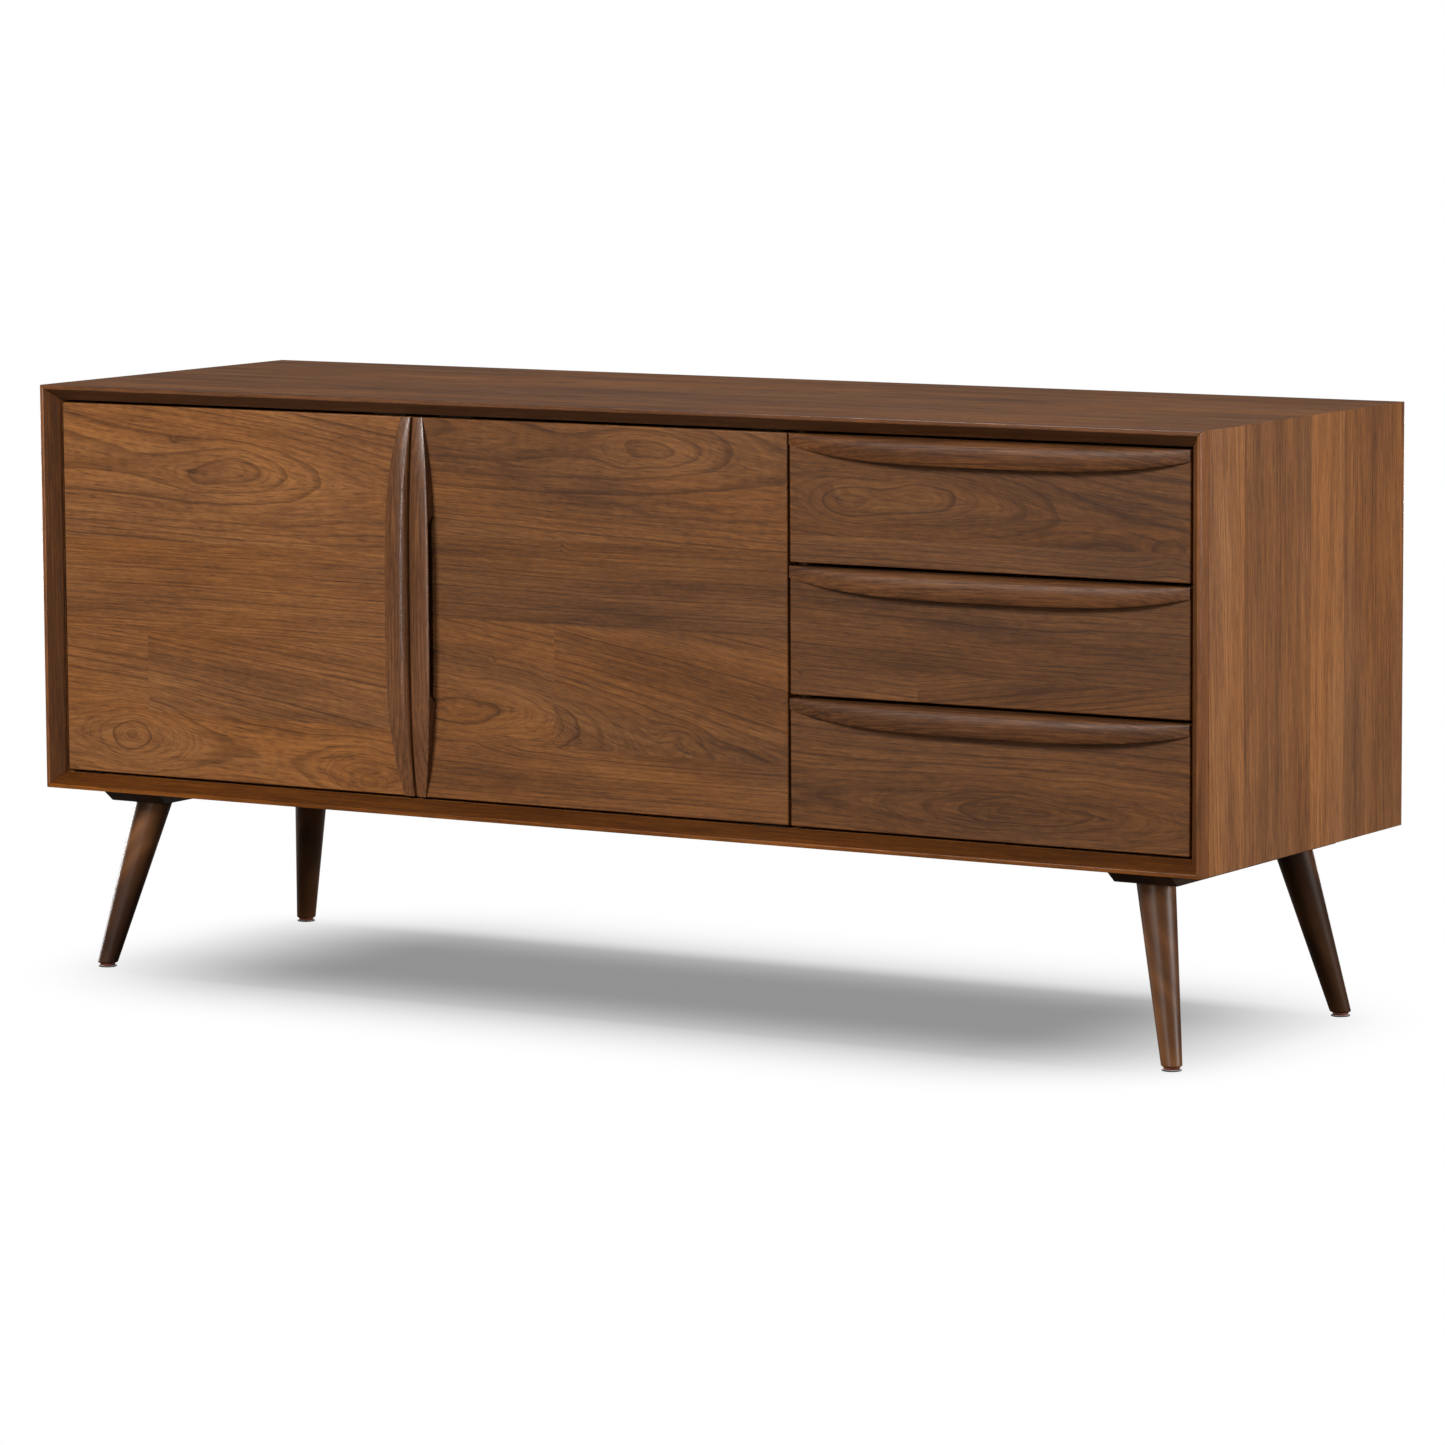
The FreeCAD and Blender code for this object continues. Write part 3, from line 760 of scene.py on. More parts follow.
@dataclass(frozen=True)
class Cutting:
    """How a board was sawn from its log.

    Attributes:
        grain: Which way the wood runs.
        across: How far the log's heart lies across the face from the board's middle.
        through: How far the heart lies behind the face.
        lean: How far the heart wanders from the board in each metre.
        start: Where along the log the board begins.
        tone: How much lighter, or darker below 0, its wood is drawn: its own tone, with painted shade added
            on some boards.
    """

    grain: Grain
    across: float
    through: float
    lean: float
    start: float
    tone: float = 0.0

    def point(self, place: Vector, middle: Vector) -> Vector:
        """Finds where a point of the board lay in the log.

        Args:
            place: The point.
            middle: The board's middle.

        Returns:
            Its distance along the log, and from the heart across and through the board.
        """
        run, side, deep = ((place - middle)[axis] for axis in self.grain.value)
        return Vector((run + self.start, side + self.across + self.lean * run,
                       deep + self.through + 0.4 * self.lean * run))


@dataclass(frozen=True)
class Plank:
    """One plank of a glued-up panel: its edges across the grain, its cutting and its ends along the grain."""

    low: float
    high: float
    cutting: Cutting
    start: float = -1.0
    end: float = 1.0


def planks(grain: Grain, *rows: Sequence[float]) -> list[Plank]:
    """Lists a panel's planks. A row is a plank's edges, its cutting and, where it is short, its ends."""
    return [Plank(low, high, Cutting(grain, *sawn[:5]), *sawn[5:]) for low, high, *sawn in rows]


def node_shape(node: str, joined: bool = True) -> Shape:
    """Takes a whole copy of a working part's surface.

    Args:
        node: The part's name.
        joined: Whether its triangles are joined into plain faces.

    Returns:
        Its surface.
    """
    shape = bmesh.new()
    shape.from_mesh(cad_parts[node].data)
    bmesh.ops.remove_doubles(shape, verts=shape.verts, dist=MERGE)
    if joined:
        bmesh.ops.dissolve_limit(shape, angle_limit=math.radians(FLAT_ANGLE), verts=shape.verts,
                                 edges=shape.edges)
    return shape


def ease_edges(shape: Shape, width: float, shortest: float = 0.005) -> None:
    """Rounds a shape's sharp edges over and marks them as handled.

    Args:
        shape: The shape.
        width: How far the rounding reaches from an edge.
        shortest: The shortest edge that is rounded.
    """
    for face in shape.faces:
        face.smooth = False
    edge_mark = shape.faces.layers.float.new("edge")
    sharp = [e for e in shape.edges if e.is_manifold and e.calc_length() > shortest
             and e.calc_face_angle(0.0) > math.radians(SHARP_ANGLE)]
    eased = bmesh.ops.bevel(shape, geom=sharp, offset=width, offset_type="OFFSET", segments=EDGE_STEPS,
                            profile=0.5, affect="EDGES", clamp_overlap=True)
    for face in eased["faces"]:
        face.smooth = True
        face[edge_mark] = 1.0


def lay_grain(shape: Shape, glued: Sequence[Plank], middle: Vector) -> None:
    """Cuts a shape between its planks and marks where every corner lay in its log.

    Args:
        shape: The shape.
        glued: Its planks.
        middle: The board's middle.
    """
    along, across, _ = glued[0].cutting.grain.value
    axes = Matrix.Identity(3)
    for axis, places in ((across, {place for p in glued for place in (p.low, p.high)}),
                         (along, {place for p in glued for place in (p.start, p.end)})):
        for place in sorted(places):
            geometry = [*shape.verts, *shape.edges, *shape.faces]
            bmesh.ops.bisect_plane(shape, geom=geometry, dist=MERGE, plane_co=axes[axis] * place,
                                   plane_no=axes[axis])
    grain = shape.loops.layers.float_vector.new("grain")
    tone = shape.faces.layers.float.new("tone")
    for face in shape.faces:
        centre = face.calc_center_bounds()
        sawn = next(p.cutting for p in glued
                    if p.low <= centre[across] <= p.high and p.start <= centre[along] <= p.end)
        face[tone] = sawn.tone
        for loop in face.loops:
            loop[grain] = sawn.point(loop.vert.co, middle)


def smooth_by_angle(shape: Shape, degrees: float) -> None:
    """Shades a shape smooth, save over its sharp edges.

    Args:
        shape: The shape.
        degrees: The least turn between faces that stays sharp.
    """
    for face in shape.faces:
        face.smooth = True
    for edge in shape.edges:
        edge.smooth = edge.is_manifold and edge.calc_face_angle(0.0) < math.radians(degrees)


def set_piece(shape: Shape, part: Part, ending: str, material: Material) -> Piece:
    """Puts a finished piece on the sideboard.

    Args:
        shape: Its surface, which is used up.
        part: The working part that it stands for.
        ending: What its name adds to the part's name.
        material: Its finish.

    Returns:
        The piece.
    """
    mesh = bpy.data.meshes.new(part.node + ending)
    shape.to_mesh(mesh)
    shape.free()
    mesh.materials.append(material)
    piece = bpy.data.objects.new(part.node + ending, mesh)
    bpy.context.scene.collection.objects.link(piece)
    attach(piece, part.body)
    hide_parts(part.node)
    log.info("%s: %d faces on %s", piece.name, len(mesh.polygons), part.body)
    return piece


def board(part: Part, material: Material, sawn: Cutting | Sequence[Plank], ease: float) -> Piece:
    """Finishes a board of the working model: eased edges, and wood that runs right through it.

    Args:
        part: The working part.
        material: Its finish.
        sawn: How it was sawn, or the planks that it is glued up from.
        ease: How far its edges are rounded.

    Returns:
        The finished board.
    """
    shape = node_shape(part.node)
    ease_edges(shape, ease)
    glued = [Plank(-1.0, 1.0, sawn)] if isinstance(sawn, Cutting) else sawn
    lay_grain(shape, glued, sum(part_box(part.node), Vector()) / 2.0)
    return set_piece(shape, part, "_finished", material)


def loose_parts(node: str) -> list[tuple[Vector, Vector]]:
    """Measures the separate solids of a working part.

    Args:
        node: The part's name.

    Returns:
        Each solid's lowest and highest corner, from left to right, front to back and low to high.
    """
    shape = node_shape(node, joined=False)
    waiting = set(shape.verts)
    boxes = []
    while waiting:
        reached = [waiting.pop()]
        spots = []
        while reached:
            vert = reached.pop()
            spots.append(vert.co.copy())
            found = {edge.other_vert(vert) for edge in vert.link_edges} & waiting
            waiting -= found
            reached += found
        boxes.append(tuple(Vector([end(s[i] for s in spots) for i in range(3)]) for end in (min, max)))
    shape.free()
    return sorted(boxes, key=lambda b: tuple(round(c, 4) for c in b[0]))


# ---------------------------------------------------------------------------------------------
# Geometry node recipes


class Recipe:
    """A geometry node tree that makes one kind of part, and the way to use it."""

    def __init__(self, name: str, inputs: dict[str, str]) -> None:
        """Starts the tree, with inputs named by their kind of socket."""
        self.sheet, self.given, self.wanted = new_group(
            name, "Geometry", {"Geometry": "Shape", "Material": "Finish", **inputs}, {"Geometry": "Shape"})

    def end(self, shape: Wire) -> None:
        """Ends the tree with a real shape in the part's finish.

        Args:
            shape: The made shape.
        """
        real = self.sheet.wire("GeometryNodeRealizeInstances", {"Geometry": shape})
        finished = {"Geometry": real, "Material": self.given["Finish"]}
        feed(self.wanted["Shape"], self.sheet.wire("GeometryNodeSetMaterial", finished))

    def make(self, values: dict[str, Any], points: Mesh | None = None) -> Shape:
        """Makes a part by the recipe.

        Args:
            values: What the inputs are, by name.
            points: The points that it starts from, if any.

        Returns:
            The part.
        """
        source = bpy.data.objects.new("blank", points or bpy.data.meshes.new("blank"))
        bpy.context.scene.collection.objects.link(source)
        modifier = source.modifiers.new("recipe", "NODES")
        modifier.node_group = self.sheet.tree
        for item in self.sheet.tree.interface.items_tree:
            if item.in_out == "INPUT" and item.name in values:
                modifier[item.identifier] = values[item.name]
        depsgraph = bpy.context.evaluated_depsgraph_get()
        made = bpy.data.meshes.new_from_object(
            source.evaluated_get(depsgraph), preserve_all_data_layers=True, depsgraph=depsgraph)
        shape = bmesh.new()
        shape.from_mesh(made)
        bpy.data.objects.remove(source)
        bpy.data.meshes.remove(made)
        return shape


def leg_recipe() -> Recipe:
    """Draws the recipe for a round, tapered, splayed leg with level ends.

    Returns:
        The recipe.
    """
    recipe = Recipe("turned_leg", {
        "Vector": "Top Middle, Foot Middle, Heart", "Float": "Top Diameter, Foot Diameter, Foot Rounding",
        "Int": "Sides, Rings"})
    sheet, given = recipe.sheet, recipe.given
    foot, top, rounding = given["Foot Middle"], given["Top Middle"], given["Foot Rounding"]
    blank = sheet.wire("GeometryNodeMeshCylinder", {
        "Vertices": given["Sides"], "Side Segments": given["Rings"], "Radius": 1.0, "Depth": 1.0}, "Mesh")
    x, y, z = sheet.split(sheet.wire("GeometryNodeInputPosition"))
    share = (z + 0.5).clamped().reckon("POWER", 1.6)
    run = top - foot
    rise = sheet.split(run)[2]
    spread = given["Top Diameter"] - given["Foot Diameter"]
    inward = 1.0 - (share * rise / rounding).clamped()
    curve = 1.0 - (1.0 - inward * inward).clamped().reckon("SQRT")
    radius = (spread * share + given["Foot Diameter"]) * 0.5 - curve * rounding
    flat = (run * (1.0, 1.0, 0.0)).reckon("NORMALIZE")
    circle = sheet.join(x, y)
    stretch = run.reckon("LENGTH") / rise - 1.0
    outline = (circle + flat * (circle.reckon("DOT_PRODUCT", flat) * stretch)) * radius
    shaped = sheet.wire("GeometryNodeSetPosition", {
        "Geometry": blank, "Position": foot + run * share + outline})
    x, y, z = sheet.split(outline + sheet.join(z=share * rise) + given["Heart"])
    marked = sheet.add("GeometryNodeStoreNamedAttribute", {"Geometry": shaped, "Name": "grain"},
                       data_type="FLOAT_VECTOR", domain="POINT")
    feed(live(marked.inputs, "Value"), sheet.join(z, x, y))
    recipe.end(Wire(marked.outputs[0]))
    return recipe


def fixing_recipe() -> Recipe:
    """Draws the recipe that sets one small part at every point, facing as the point says.

    Returns:
        The recipe.
    """
    recipe = Recipe("set_fixings", {"Object": "Fixing", "Float": "Turn", "Int": "Seed"})
    sheet, given = recipe.sheet, recipe.given
    points = sheet.wire("GeometryNodeMeshToPoints", {"Mesh": given["Shape"]})
    facing = sheet.wire("GeometryNodeInputNamedAttribute", {"Name": "facing"}, "Attribute",
                        data_type="FLOAT_VECTOR")
    aim = sheet.wire("FunctionNodeAlignRotationToVector", {"Vector": facing}, axis="Z")
    part = sheet.wire("GeometryNodeObjectInfo", {"Object": given["Fixing"]}, "Geometry",
                      transform_space="ORIGINAL")
    placed = sheet.wire("GeometryNodeInstanceOnPoints", {"Points": points, "Instance": part, "Rotation": aim})
    chance = sheet.wire("FunctionNodeRandomValue", {"Min": 0.0, "Max": 1.0, "Seed": given["Seed"]}, "Value",
                        data_type="FLOAT")
    euler = sheet.join(z=chance * given["Turn"])
    turn = sheet.wire("FunctionNodeEulerToRotation", {"Euler": euler})
    recipe.end(sheet.wire("GeometryNodeRotateInstances", {"Instances": placed, "Rotation": turn}))
    return recipe


def turned_shape(profile: Sequence[tuple[float, float]], sides: int) -> Shape:
    """Turns an outline round the Z axis.

    Args:
        profile: Radius and height of each corner, from the top's middle to the bottom's middle.
        sides: How many sides the round has.

    Returns:
        The turned, closed shape.
    """
    shape = bmesh.new()
    rings = []
    for radius, height in profile:
        turns = [math.tau * k / sides for k in range(sides if radius > MERGE else 1)]
        rings.append([shape.verts.new((radius * math.cos(t), radius * math.sin(t), height)) for t in turns])
    for upper, lower in zip(rings, rings[1:]):
        for k in range(sides):
            corners = [upper[k % len(upper)], lower[k % len(lower)],
                       lower[(k + 1) % len(lower)], upper[(k + 1) % len(upper)]]
            distinct = list(dict.fromkeys(corners))
            if len(distinct) > 2:
                shape.faces.new(distinct)
    bmesh.ops.recalc_face_normals(shape, faces=shape.faces)
    smooth_by_angle(shape, TURNED_ANGLE)
    return shape


class FixingKit:
    """Sets small repeated parts, such as screws, where the working model has them."""

    def __init__(self, finishes: Finishes) -> None:
        """Draws the recipe."""
        self.finishes = finishes
        self.recipe = fixing_recipe()

    def place(self, part: Part, finish: Finish, prototype: Shape, facing: Vector) -> None:
        """Sets one part at each solid of a working part, at the end that faces outwards.

        Args:
            part: The working part.
            finish: The parts' finish.
            prototype: One part, with its outer end at the origin and facing +Z.
            facing: The way that the parts' outer ends face.
        """
        spots = [(low + high + (high - low) * facing) / 2.0 for low, high in loose_parts(part.node)]
        points = bpy.data.meshes.new(part.node + "_points")
        points.from_pydata(spots, [], [])
        aim = points.attributes.new("facing", "FLOAT_VECTOR", "POINT")
        aim.data.foreach_set("vector", [c for _ in spots for c in facing])
        mesh = bpy.data.meshes.new(part.node + "_single")
        prototype.to_mesh(mesh)
        prototype.free()
        single = bpy.data.objects.new(mesh.name, mesh)
        bpy.context.scene.collection.objects.link(single)
        material = self.finishes.of(finish)
        made = self.recipe.make({"Fixing": single, "Turn": math.tau, "Seed": 3, "Finish": material}, points)
        bpy.data.objects.remove(single)
        set_piece(made, part, "_set", material)


LEVELS = ("bottom", "middle", "top")
# The right door's and the drawers' planks are toned lower than the left door's: their own tone plus painted
# shade, standing in for light that falls off towards the right.
FRONT_PLANKS = {
    "left_door": planks(
        Grain.LENGTHWISE_UPRIGHT,
        (0.0, 0.326, 0.190, 0.15, 0.04, 0.7, 0.12),
        (0.326, 0.424, 0.17, 0.15, 0.05, 1.9, 0.20, -1.0, -0.654),
        (0.326, 0.424, 0.22, 0.16, 0.09, 2.9, 0.02, -0.654, 1.0),
        (0.424, 0.536, -0.30, 0.10, 0.012, 4.4, 0.10),
        (0.536, 1.0, -0.150, 0.17, 0.06, 6.1, 0.16)),
    "right_door": planks(
        Grain.LENGTHWISE_UPRIGHT,
        (0.0, 0.317, 0.44, 0.10, 0.010, 8.2, -0.14),
        (0.317, 0.463, 0.125, 0.13, 0.10, 9.5, -0.04, -1.0, -0.062),
        (0.317, 0.463, 0.150, 0.14, 0.13, 9.5, -0.22, -0.062, 1.0),
        (0.463, 0.562, -0.30, 0.10, 0.014, 12.0, -0.46),
        (0.562, 1.0, -0.200, 0.16, 0.09, 13.1, -0.28)),
    "bottom_drawer": planks(Grain.LENGTHWISE_UPRIGHT, (0.0, 1.0, 0.040, 0.15, 0.01, 20.3, -0.34)),
    "middle_drawer": planks(
        Grain.LENGTHWISE_UPRIGHT,
        (0.0, 0.432, 0.20, 0.10, 0.03, 22.9, -0.24, -1.0, 0.430),
        (0.0, 0.432, 0.18, 0.12, -0.10, 24.4, -0.42, 0.430, 1.0),
        (0.432, 1.0, -0.14, 0.15, 0.045, 26.0, -0.60)),
    "top_drawer": planks(
        Grain.LENGTHWISE_UPRIGHT,
        (0.0, 0.584, 0.26, 0.10, 0.012, 28.0, -0.26),
        (0.584, 1.0, 0.000, 0.15, 0.08, 29.7, -0.44)),
}


# ---------------------------------------------------------------------------------------------
# The sideboard


@dataclass
class Case:
    """The mitred case with its front edging, back, divider and shelf.

    Attributes:
        finishes: The mixed finishes.
        ease: The rounding of its boards' edges.
        edging_ease: The rounding of the front edging's lip.
        bevel_tone: How much painted shade darkens the edging's bevel below its lip.
    """

    finishes: Finishes
    ease: float = 0.0005
    edging_ease: float = 0.0009
    bevel_tone: float = -1.1

    def build(self) -> None:
        """Finishes every board of the case."""
        self._outside()
        self._edging()
        self._inside()

    def _outside(self) -> None:
        """Finishes the top, bottom and sides."""
        walnut = self.finishes.of(CASE_WALNUT)
        flat, side = Grain.LENGTHWISE_FLAT, Grain.UPRIGHT_FACING_SIDE
        boards = {
            # The top's planks are toned low: their own tone plus painted shade darkening the top.
            "top_panel": planks(flat, (-1.0, -0.150, 0.30, 0.12, 0.012, 0.3, -0.35),
                                (-0.150, -0.010, 0.14, 0.11, 0.020, 2.1, -0.52),
                                (-0.010, 0.130, -0.06, 0.10, 0.030, 4.7, -0.28),
                                (0.130, 1.0, -0.32, 0.12, 0.014, 6.2, -0.45)),
            "bottom_panel": Cutting(flat, 0.2, 0.12, 0.02, 9.0),
        }
        for hand in Side:
            log_start = 3.0 * hand.value
            boards[hand.name.lower() + "_side_panel"] = planks(
                side, (-1.0, -0.150, 0.36, 0.09, 0.045, 1.3 + log_start, 0.50),
                (-0.150, 0.016, 0.26, 0.10, 0.016, 2.6 + log_start, -0.14),
                (0.016, 0.100, -0.30, 0.09, -0.012, 4.1 + log_start, 0.46),
                (0.100, 1.0, -0.36, 0.09, 0.022, 5.3 + log_start, -0.26))
        for node, sawn in boards.items():
            board(Part(node, "case", "case_walnut"), walnut, sawn, self.ease)

    def _edging(self) -> None:
        """Finishes the four mitred lengths of front edging, with painted shade darkening their bevels."""
        flat, upright = Grain.LENGTHWISE_FLAT, Grain.UPRIGHT_FACING_SIDE
        cuttings = {
            # The top length's low tone is painted shade, matching the darkened top.
            "top": Cutting(flat, 0.10, 0.05, 0.006, 0.4, -0.45),
            "bottom": Cutting(flat, 0.08, 0.06, 0.008, 3.3, 0.15),
            "left": Cutting(upright, 0.07, 0.08, 0.010, 5.9, 0.05),
            "right": Cutting(upright, 0.09, 0.06, 0.010, 7.7, 0.1),
        }
        for place, cutting in cuttings.items():
            # The bottom length takes the painted-shade copy of the edging walnut.
            walnut = self.finishes.of(LOWER_EDGING_PAINTED_SHADE_WALNUT if place == "bottom" else EDGING_WALNUT)
            part = Part(place + "_front_edging", "case", "edging_walnut")
            piece = board(part, walnut, cutting, self.edging_ease)
            # Painted shade: the bevels' faces are toned darker so they read as lying in shade.
            tones_with_painted_shade = piece.data.attributes["tone"].data
            for face in piece.data.polygons:
                if 0.3 < abs(face.normal.y) < 0.9:
                    tones_with_painted_shade[face.index].value += self.bevel_tone

    def _inside(self) -> None:
        """Finishes the back, the divider and the shelf."""
        for node, cutting, ease in (
                ("back_panel", Cutting(Grain.LENGTHWISE_UPRIGHT, 0.05, 0.16, 0.03, 11.0), 0.0004),
                ("centre_divider", Cutting(Grain.UPRIGHT_FACING_SIDE, 0.16, 0.12, 0.02, 13.0), self.ease),
                ("adjustable_shelf", Cutting(Grain.LENGTHWISE_FLAT, 0.10, 0.12, 0.02, 15.0), self.ease)):
            board(Part(node, "case", "inner_walnut"), self.finishes.of(INNER_WALNUT), cutting, ease)


@dataclass
class Pull:
    """A lens-shaped pull with a crest beside its curved edge and a finger grip under it.

    Attributes:
        width: Its width at the middle.
        end_width: Its width at the ends.
        rise: How far its crest stands out at the middle.
        end_rise: How far it stands out at the ends.
        fullness: How full the lens is.
        grip_length: The finger grip's length, halfway out.
        grip_slant: How much shorter the grip is at the crest than at the front.
        grip_depth: How deep the grip is.
        grip_lip: The wood left above it.
        grip_run: How far its ends take to reach their depth.
        steps: How many lengths it is shaped in.
    """

    width: float = 0.0295
    end_width: float = 0.013
    rise: float = 0.0185
    end_rise: float = 0.0015
    fullness: float = 3.4
    grip_length: float = 0.212
    grip_slant: float = 0.014
    grip_depth: float = 0.015
    grip_lip: float = 0.004
    grip_run: float = 0.004
    steps: int = 96

    # The crown's corners, as shares of the width from the straight edge and of the rise.
    CROWN = ((0.0, 0.0), (0.0, 0.30), (0.0, 0.56), (0.025, 0.685), (0.07, 0.775), (0.13, 0.850),
             (0.20, 0.912), (0.28, 0.958), (0.37, 0.988), (0.46, 1.0), (0.56, 0.998), (0.68, 0.984),
             (0.79, 0.960), (0.89, 0.928), (0.96, 0.892), (1.0, 0.845))
    # The grip's depths from its ceiling down to the front, as shares of the whole.
    SCOOP = (0.72, 0.90, 0.98, 1.0, 1.0, 1.0)

    def _stations(self, length: float) -> list[float]:
        """Chooses the places along a pull where it is shaped.

        Args:
            length: The pull's length.

        Returns:
            The places from its middle, closer together at the grip's ends.
        """
        half, close = self.grip_length / 2.0, 0.0011
        places = [length * (k / self.steps - 0.5) for k in range(self.steps + 1)]
        places += [sign * (half + close * k) for k in range(-12, 13) for sign in (-1.0, 1.0)]
        return sorted({round(place, 6) for place in places})

    def _section(self, place: float, length: float) -> list[tuple[float, float]]:
        """Draws the pull's outline at one place.

        Args:
            place: The place along the pull, from its middle.
            length: The pull's length.

        Returns:
            The outline's corners, across the pull and out from the front.
        """
        full = 1.0 - abs(2.0 * place / length) ** self.fullness
        width = self.end_width + (self.width - self.end_width) * full
        rise = self.end_rise + (self.rise - self.end_rise) * full
        ceiling = max(0.3 * rise, rise - self.grip_lip)
        corners = [(across * width, out * rise) for across, out in self.CROWN] + [(width, ceiling)]
        for step, share in enumerate(self.SCOOP):
            out = ceiling * (1.0 - step / (len(self.SCOOP) - 1.0))
            slant = self.grip_slant * out / (self.rise - self.grip_lip)
            half = (self.grip_length + self.grip_slant) / 2.0 - slant
            inside = min(1.0, max(0.0, (half - abs(place)) / self.grip_run))
            corners.append((width - self.grip_depth * share * inside * inside * (3.0 - 2.0 * inside), out))
        return corners

    def carve(self, part: Part, material: Material, middle: Vector, along: Vector, across: Vector,
              length: float) -> None:
        """Carves a pull, with its own grain laid.

        Args:
            part: The working part.
            material: Its finish.
            middle: The middle of its straight edge, on the front's face.
            along: The way it runs.
            across: The way from its straight edge to its curved one.
            length: Its length.
        """
        shape = bmesh.new()
        grain = shape.verts.layers.float_vector.new("grain")
        log_place = Vector((10.0 * middle.z + 3.0 * middle.x, 0.05, 0.075))
        rings = []
        for place in self._stations(length):
            ring = []
            for sideways, outwards in self._section(place, length):
                vert = shape.verts.new(middle + along * place + across * sideways - BACK * outwards)
                vert[grain] = log_place + Vector((place, sideways, outwards + 0.02 * place))
                ring.append(vert)
            rings.append(ring)
        for first, second in zip(rings, rings[1:]):
            for k in range(len(first)):
                shape.faces.new((first[k - 1], first[k], second[k], second[k - 1]))
        shape.faces.new(rings[0])
        shape.faces.new(rings[-1])
        bmesh.ops.recalc_face_normals(shape, faces=shape.faces)
        smooth_by_angle(shape, ROUND_ANGLE)
        set_piece(shape, part, "_carved", material)


@dataclass
class Fronts:
    """The doors and the drawers, with their pulls and the drawers' boxes.

    Attributes:
        finishes: The mixed finishes.
        pull: The shape of their pulls.
        ease: The rounding of the fronts' edges.
        box_ease: The rounding of the boxes' edges.
    """

    finishes: Finishes
    pull: Pull
    ease: float = 0.0013
    box_ease: float = 0.0008

    def build(self) -> None:
        """Finishes both doors and the three drawers."""
        for hand in Side:
            self._door(hand)
        for level in LEVELS:
            self._drawer(level)
            self._box(level)

    def _front(self, body: str, node: str) -> tuple[Vector, Vector]:
        """Finishes a door's panel or a drawer's front.

        Args:
            body: The door or drawer.
            node: Its panel or front.

        Returns:
            The front's lowest and highest corner.
        """
        walnut = self.finishes.of(front_walnut(body))
        board(Part(node, body, "front_walnut"), walnut, FRONT_PLANKS[body], self.ease)
        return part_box(node)

    def _door(self, hand: Side) -> None:
        """Finishes a door, with its pull upright where the doors meet.

        Args:
            hand: Which door.
        """
        name = hand.name.lower() + "_door"
        low, high = self._front(name, name + "_panel")
        middle = Vector((high.x if hand is Side.LEFT else low.x, low.y, (low.z + high.z) / 2.0))
        self.pull.carve(Part(name + "_pull", name, "pull_walnut"), self.finishes.of(DOOR_PULL_WALNUT),
                        middle, UP, RIGHT * hand.value, high.z - low.z)

    def _drawer(self, level: str) -> None:
        """Finishes a drawer's front, with its pull along the top edge.

        Args:
            level: Which drawer.
        """
        name = level + "_drawer"
        low, high = self._front(name, name + "_front")
        middle = Vector(((low.x + high.x) / 2.0, low.y, high.z))
        self.pull.carve(Part(name + "_pull", name, "pull_walnut"), self.finishes.of(DRAWER_PULL_WALNUT),
                        middle, RIGHT, -UP, high.x - low.x)

    def _box(self, level: str) -> None:
        """Finishes a drawer's box.

        Args:
            level: Which drawer.
        """
        name = level + "_drawer"
        start = 31.0 + 6.0 * LEVELS.index(level)
        for part, cutting in {
                "left_side": Cutting(Grain.DEEP_UPRIGHT, 0.06, 0.13, 0.05, start),
                "right_side": Cutting(Grain.DEEP_UPRIGHT, 0.10, 0.12, 0.03, start + 1.0),
                "bottom": Cutting(Grain.LENGTHWISE_FLAT, 0.12, 0.16, 0.04, start + 2.0),
                "back": Cutting(Grain.LENGTHWISE_UPRIGHT, 0.05, 0.12, 0.03, start + 3.0)}.items():
            board(Part("%s_%s" % (name, part), name, "drawer_wood"), self.finishes.of(DRAWER_WOOD), cutting,
                  self.box_ease)


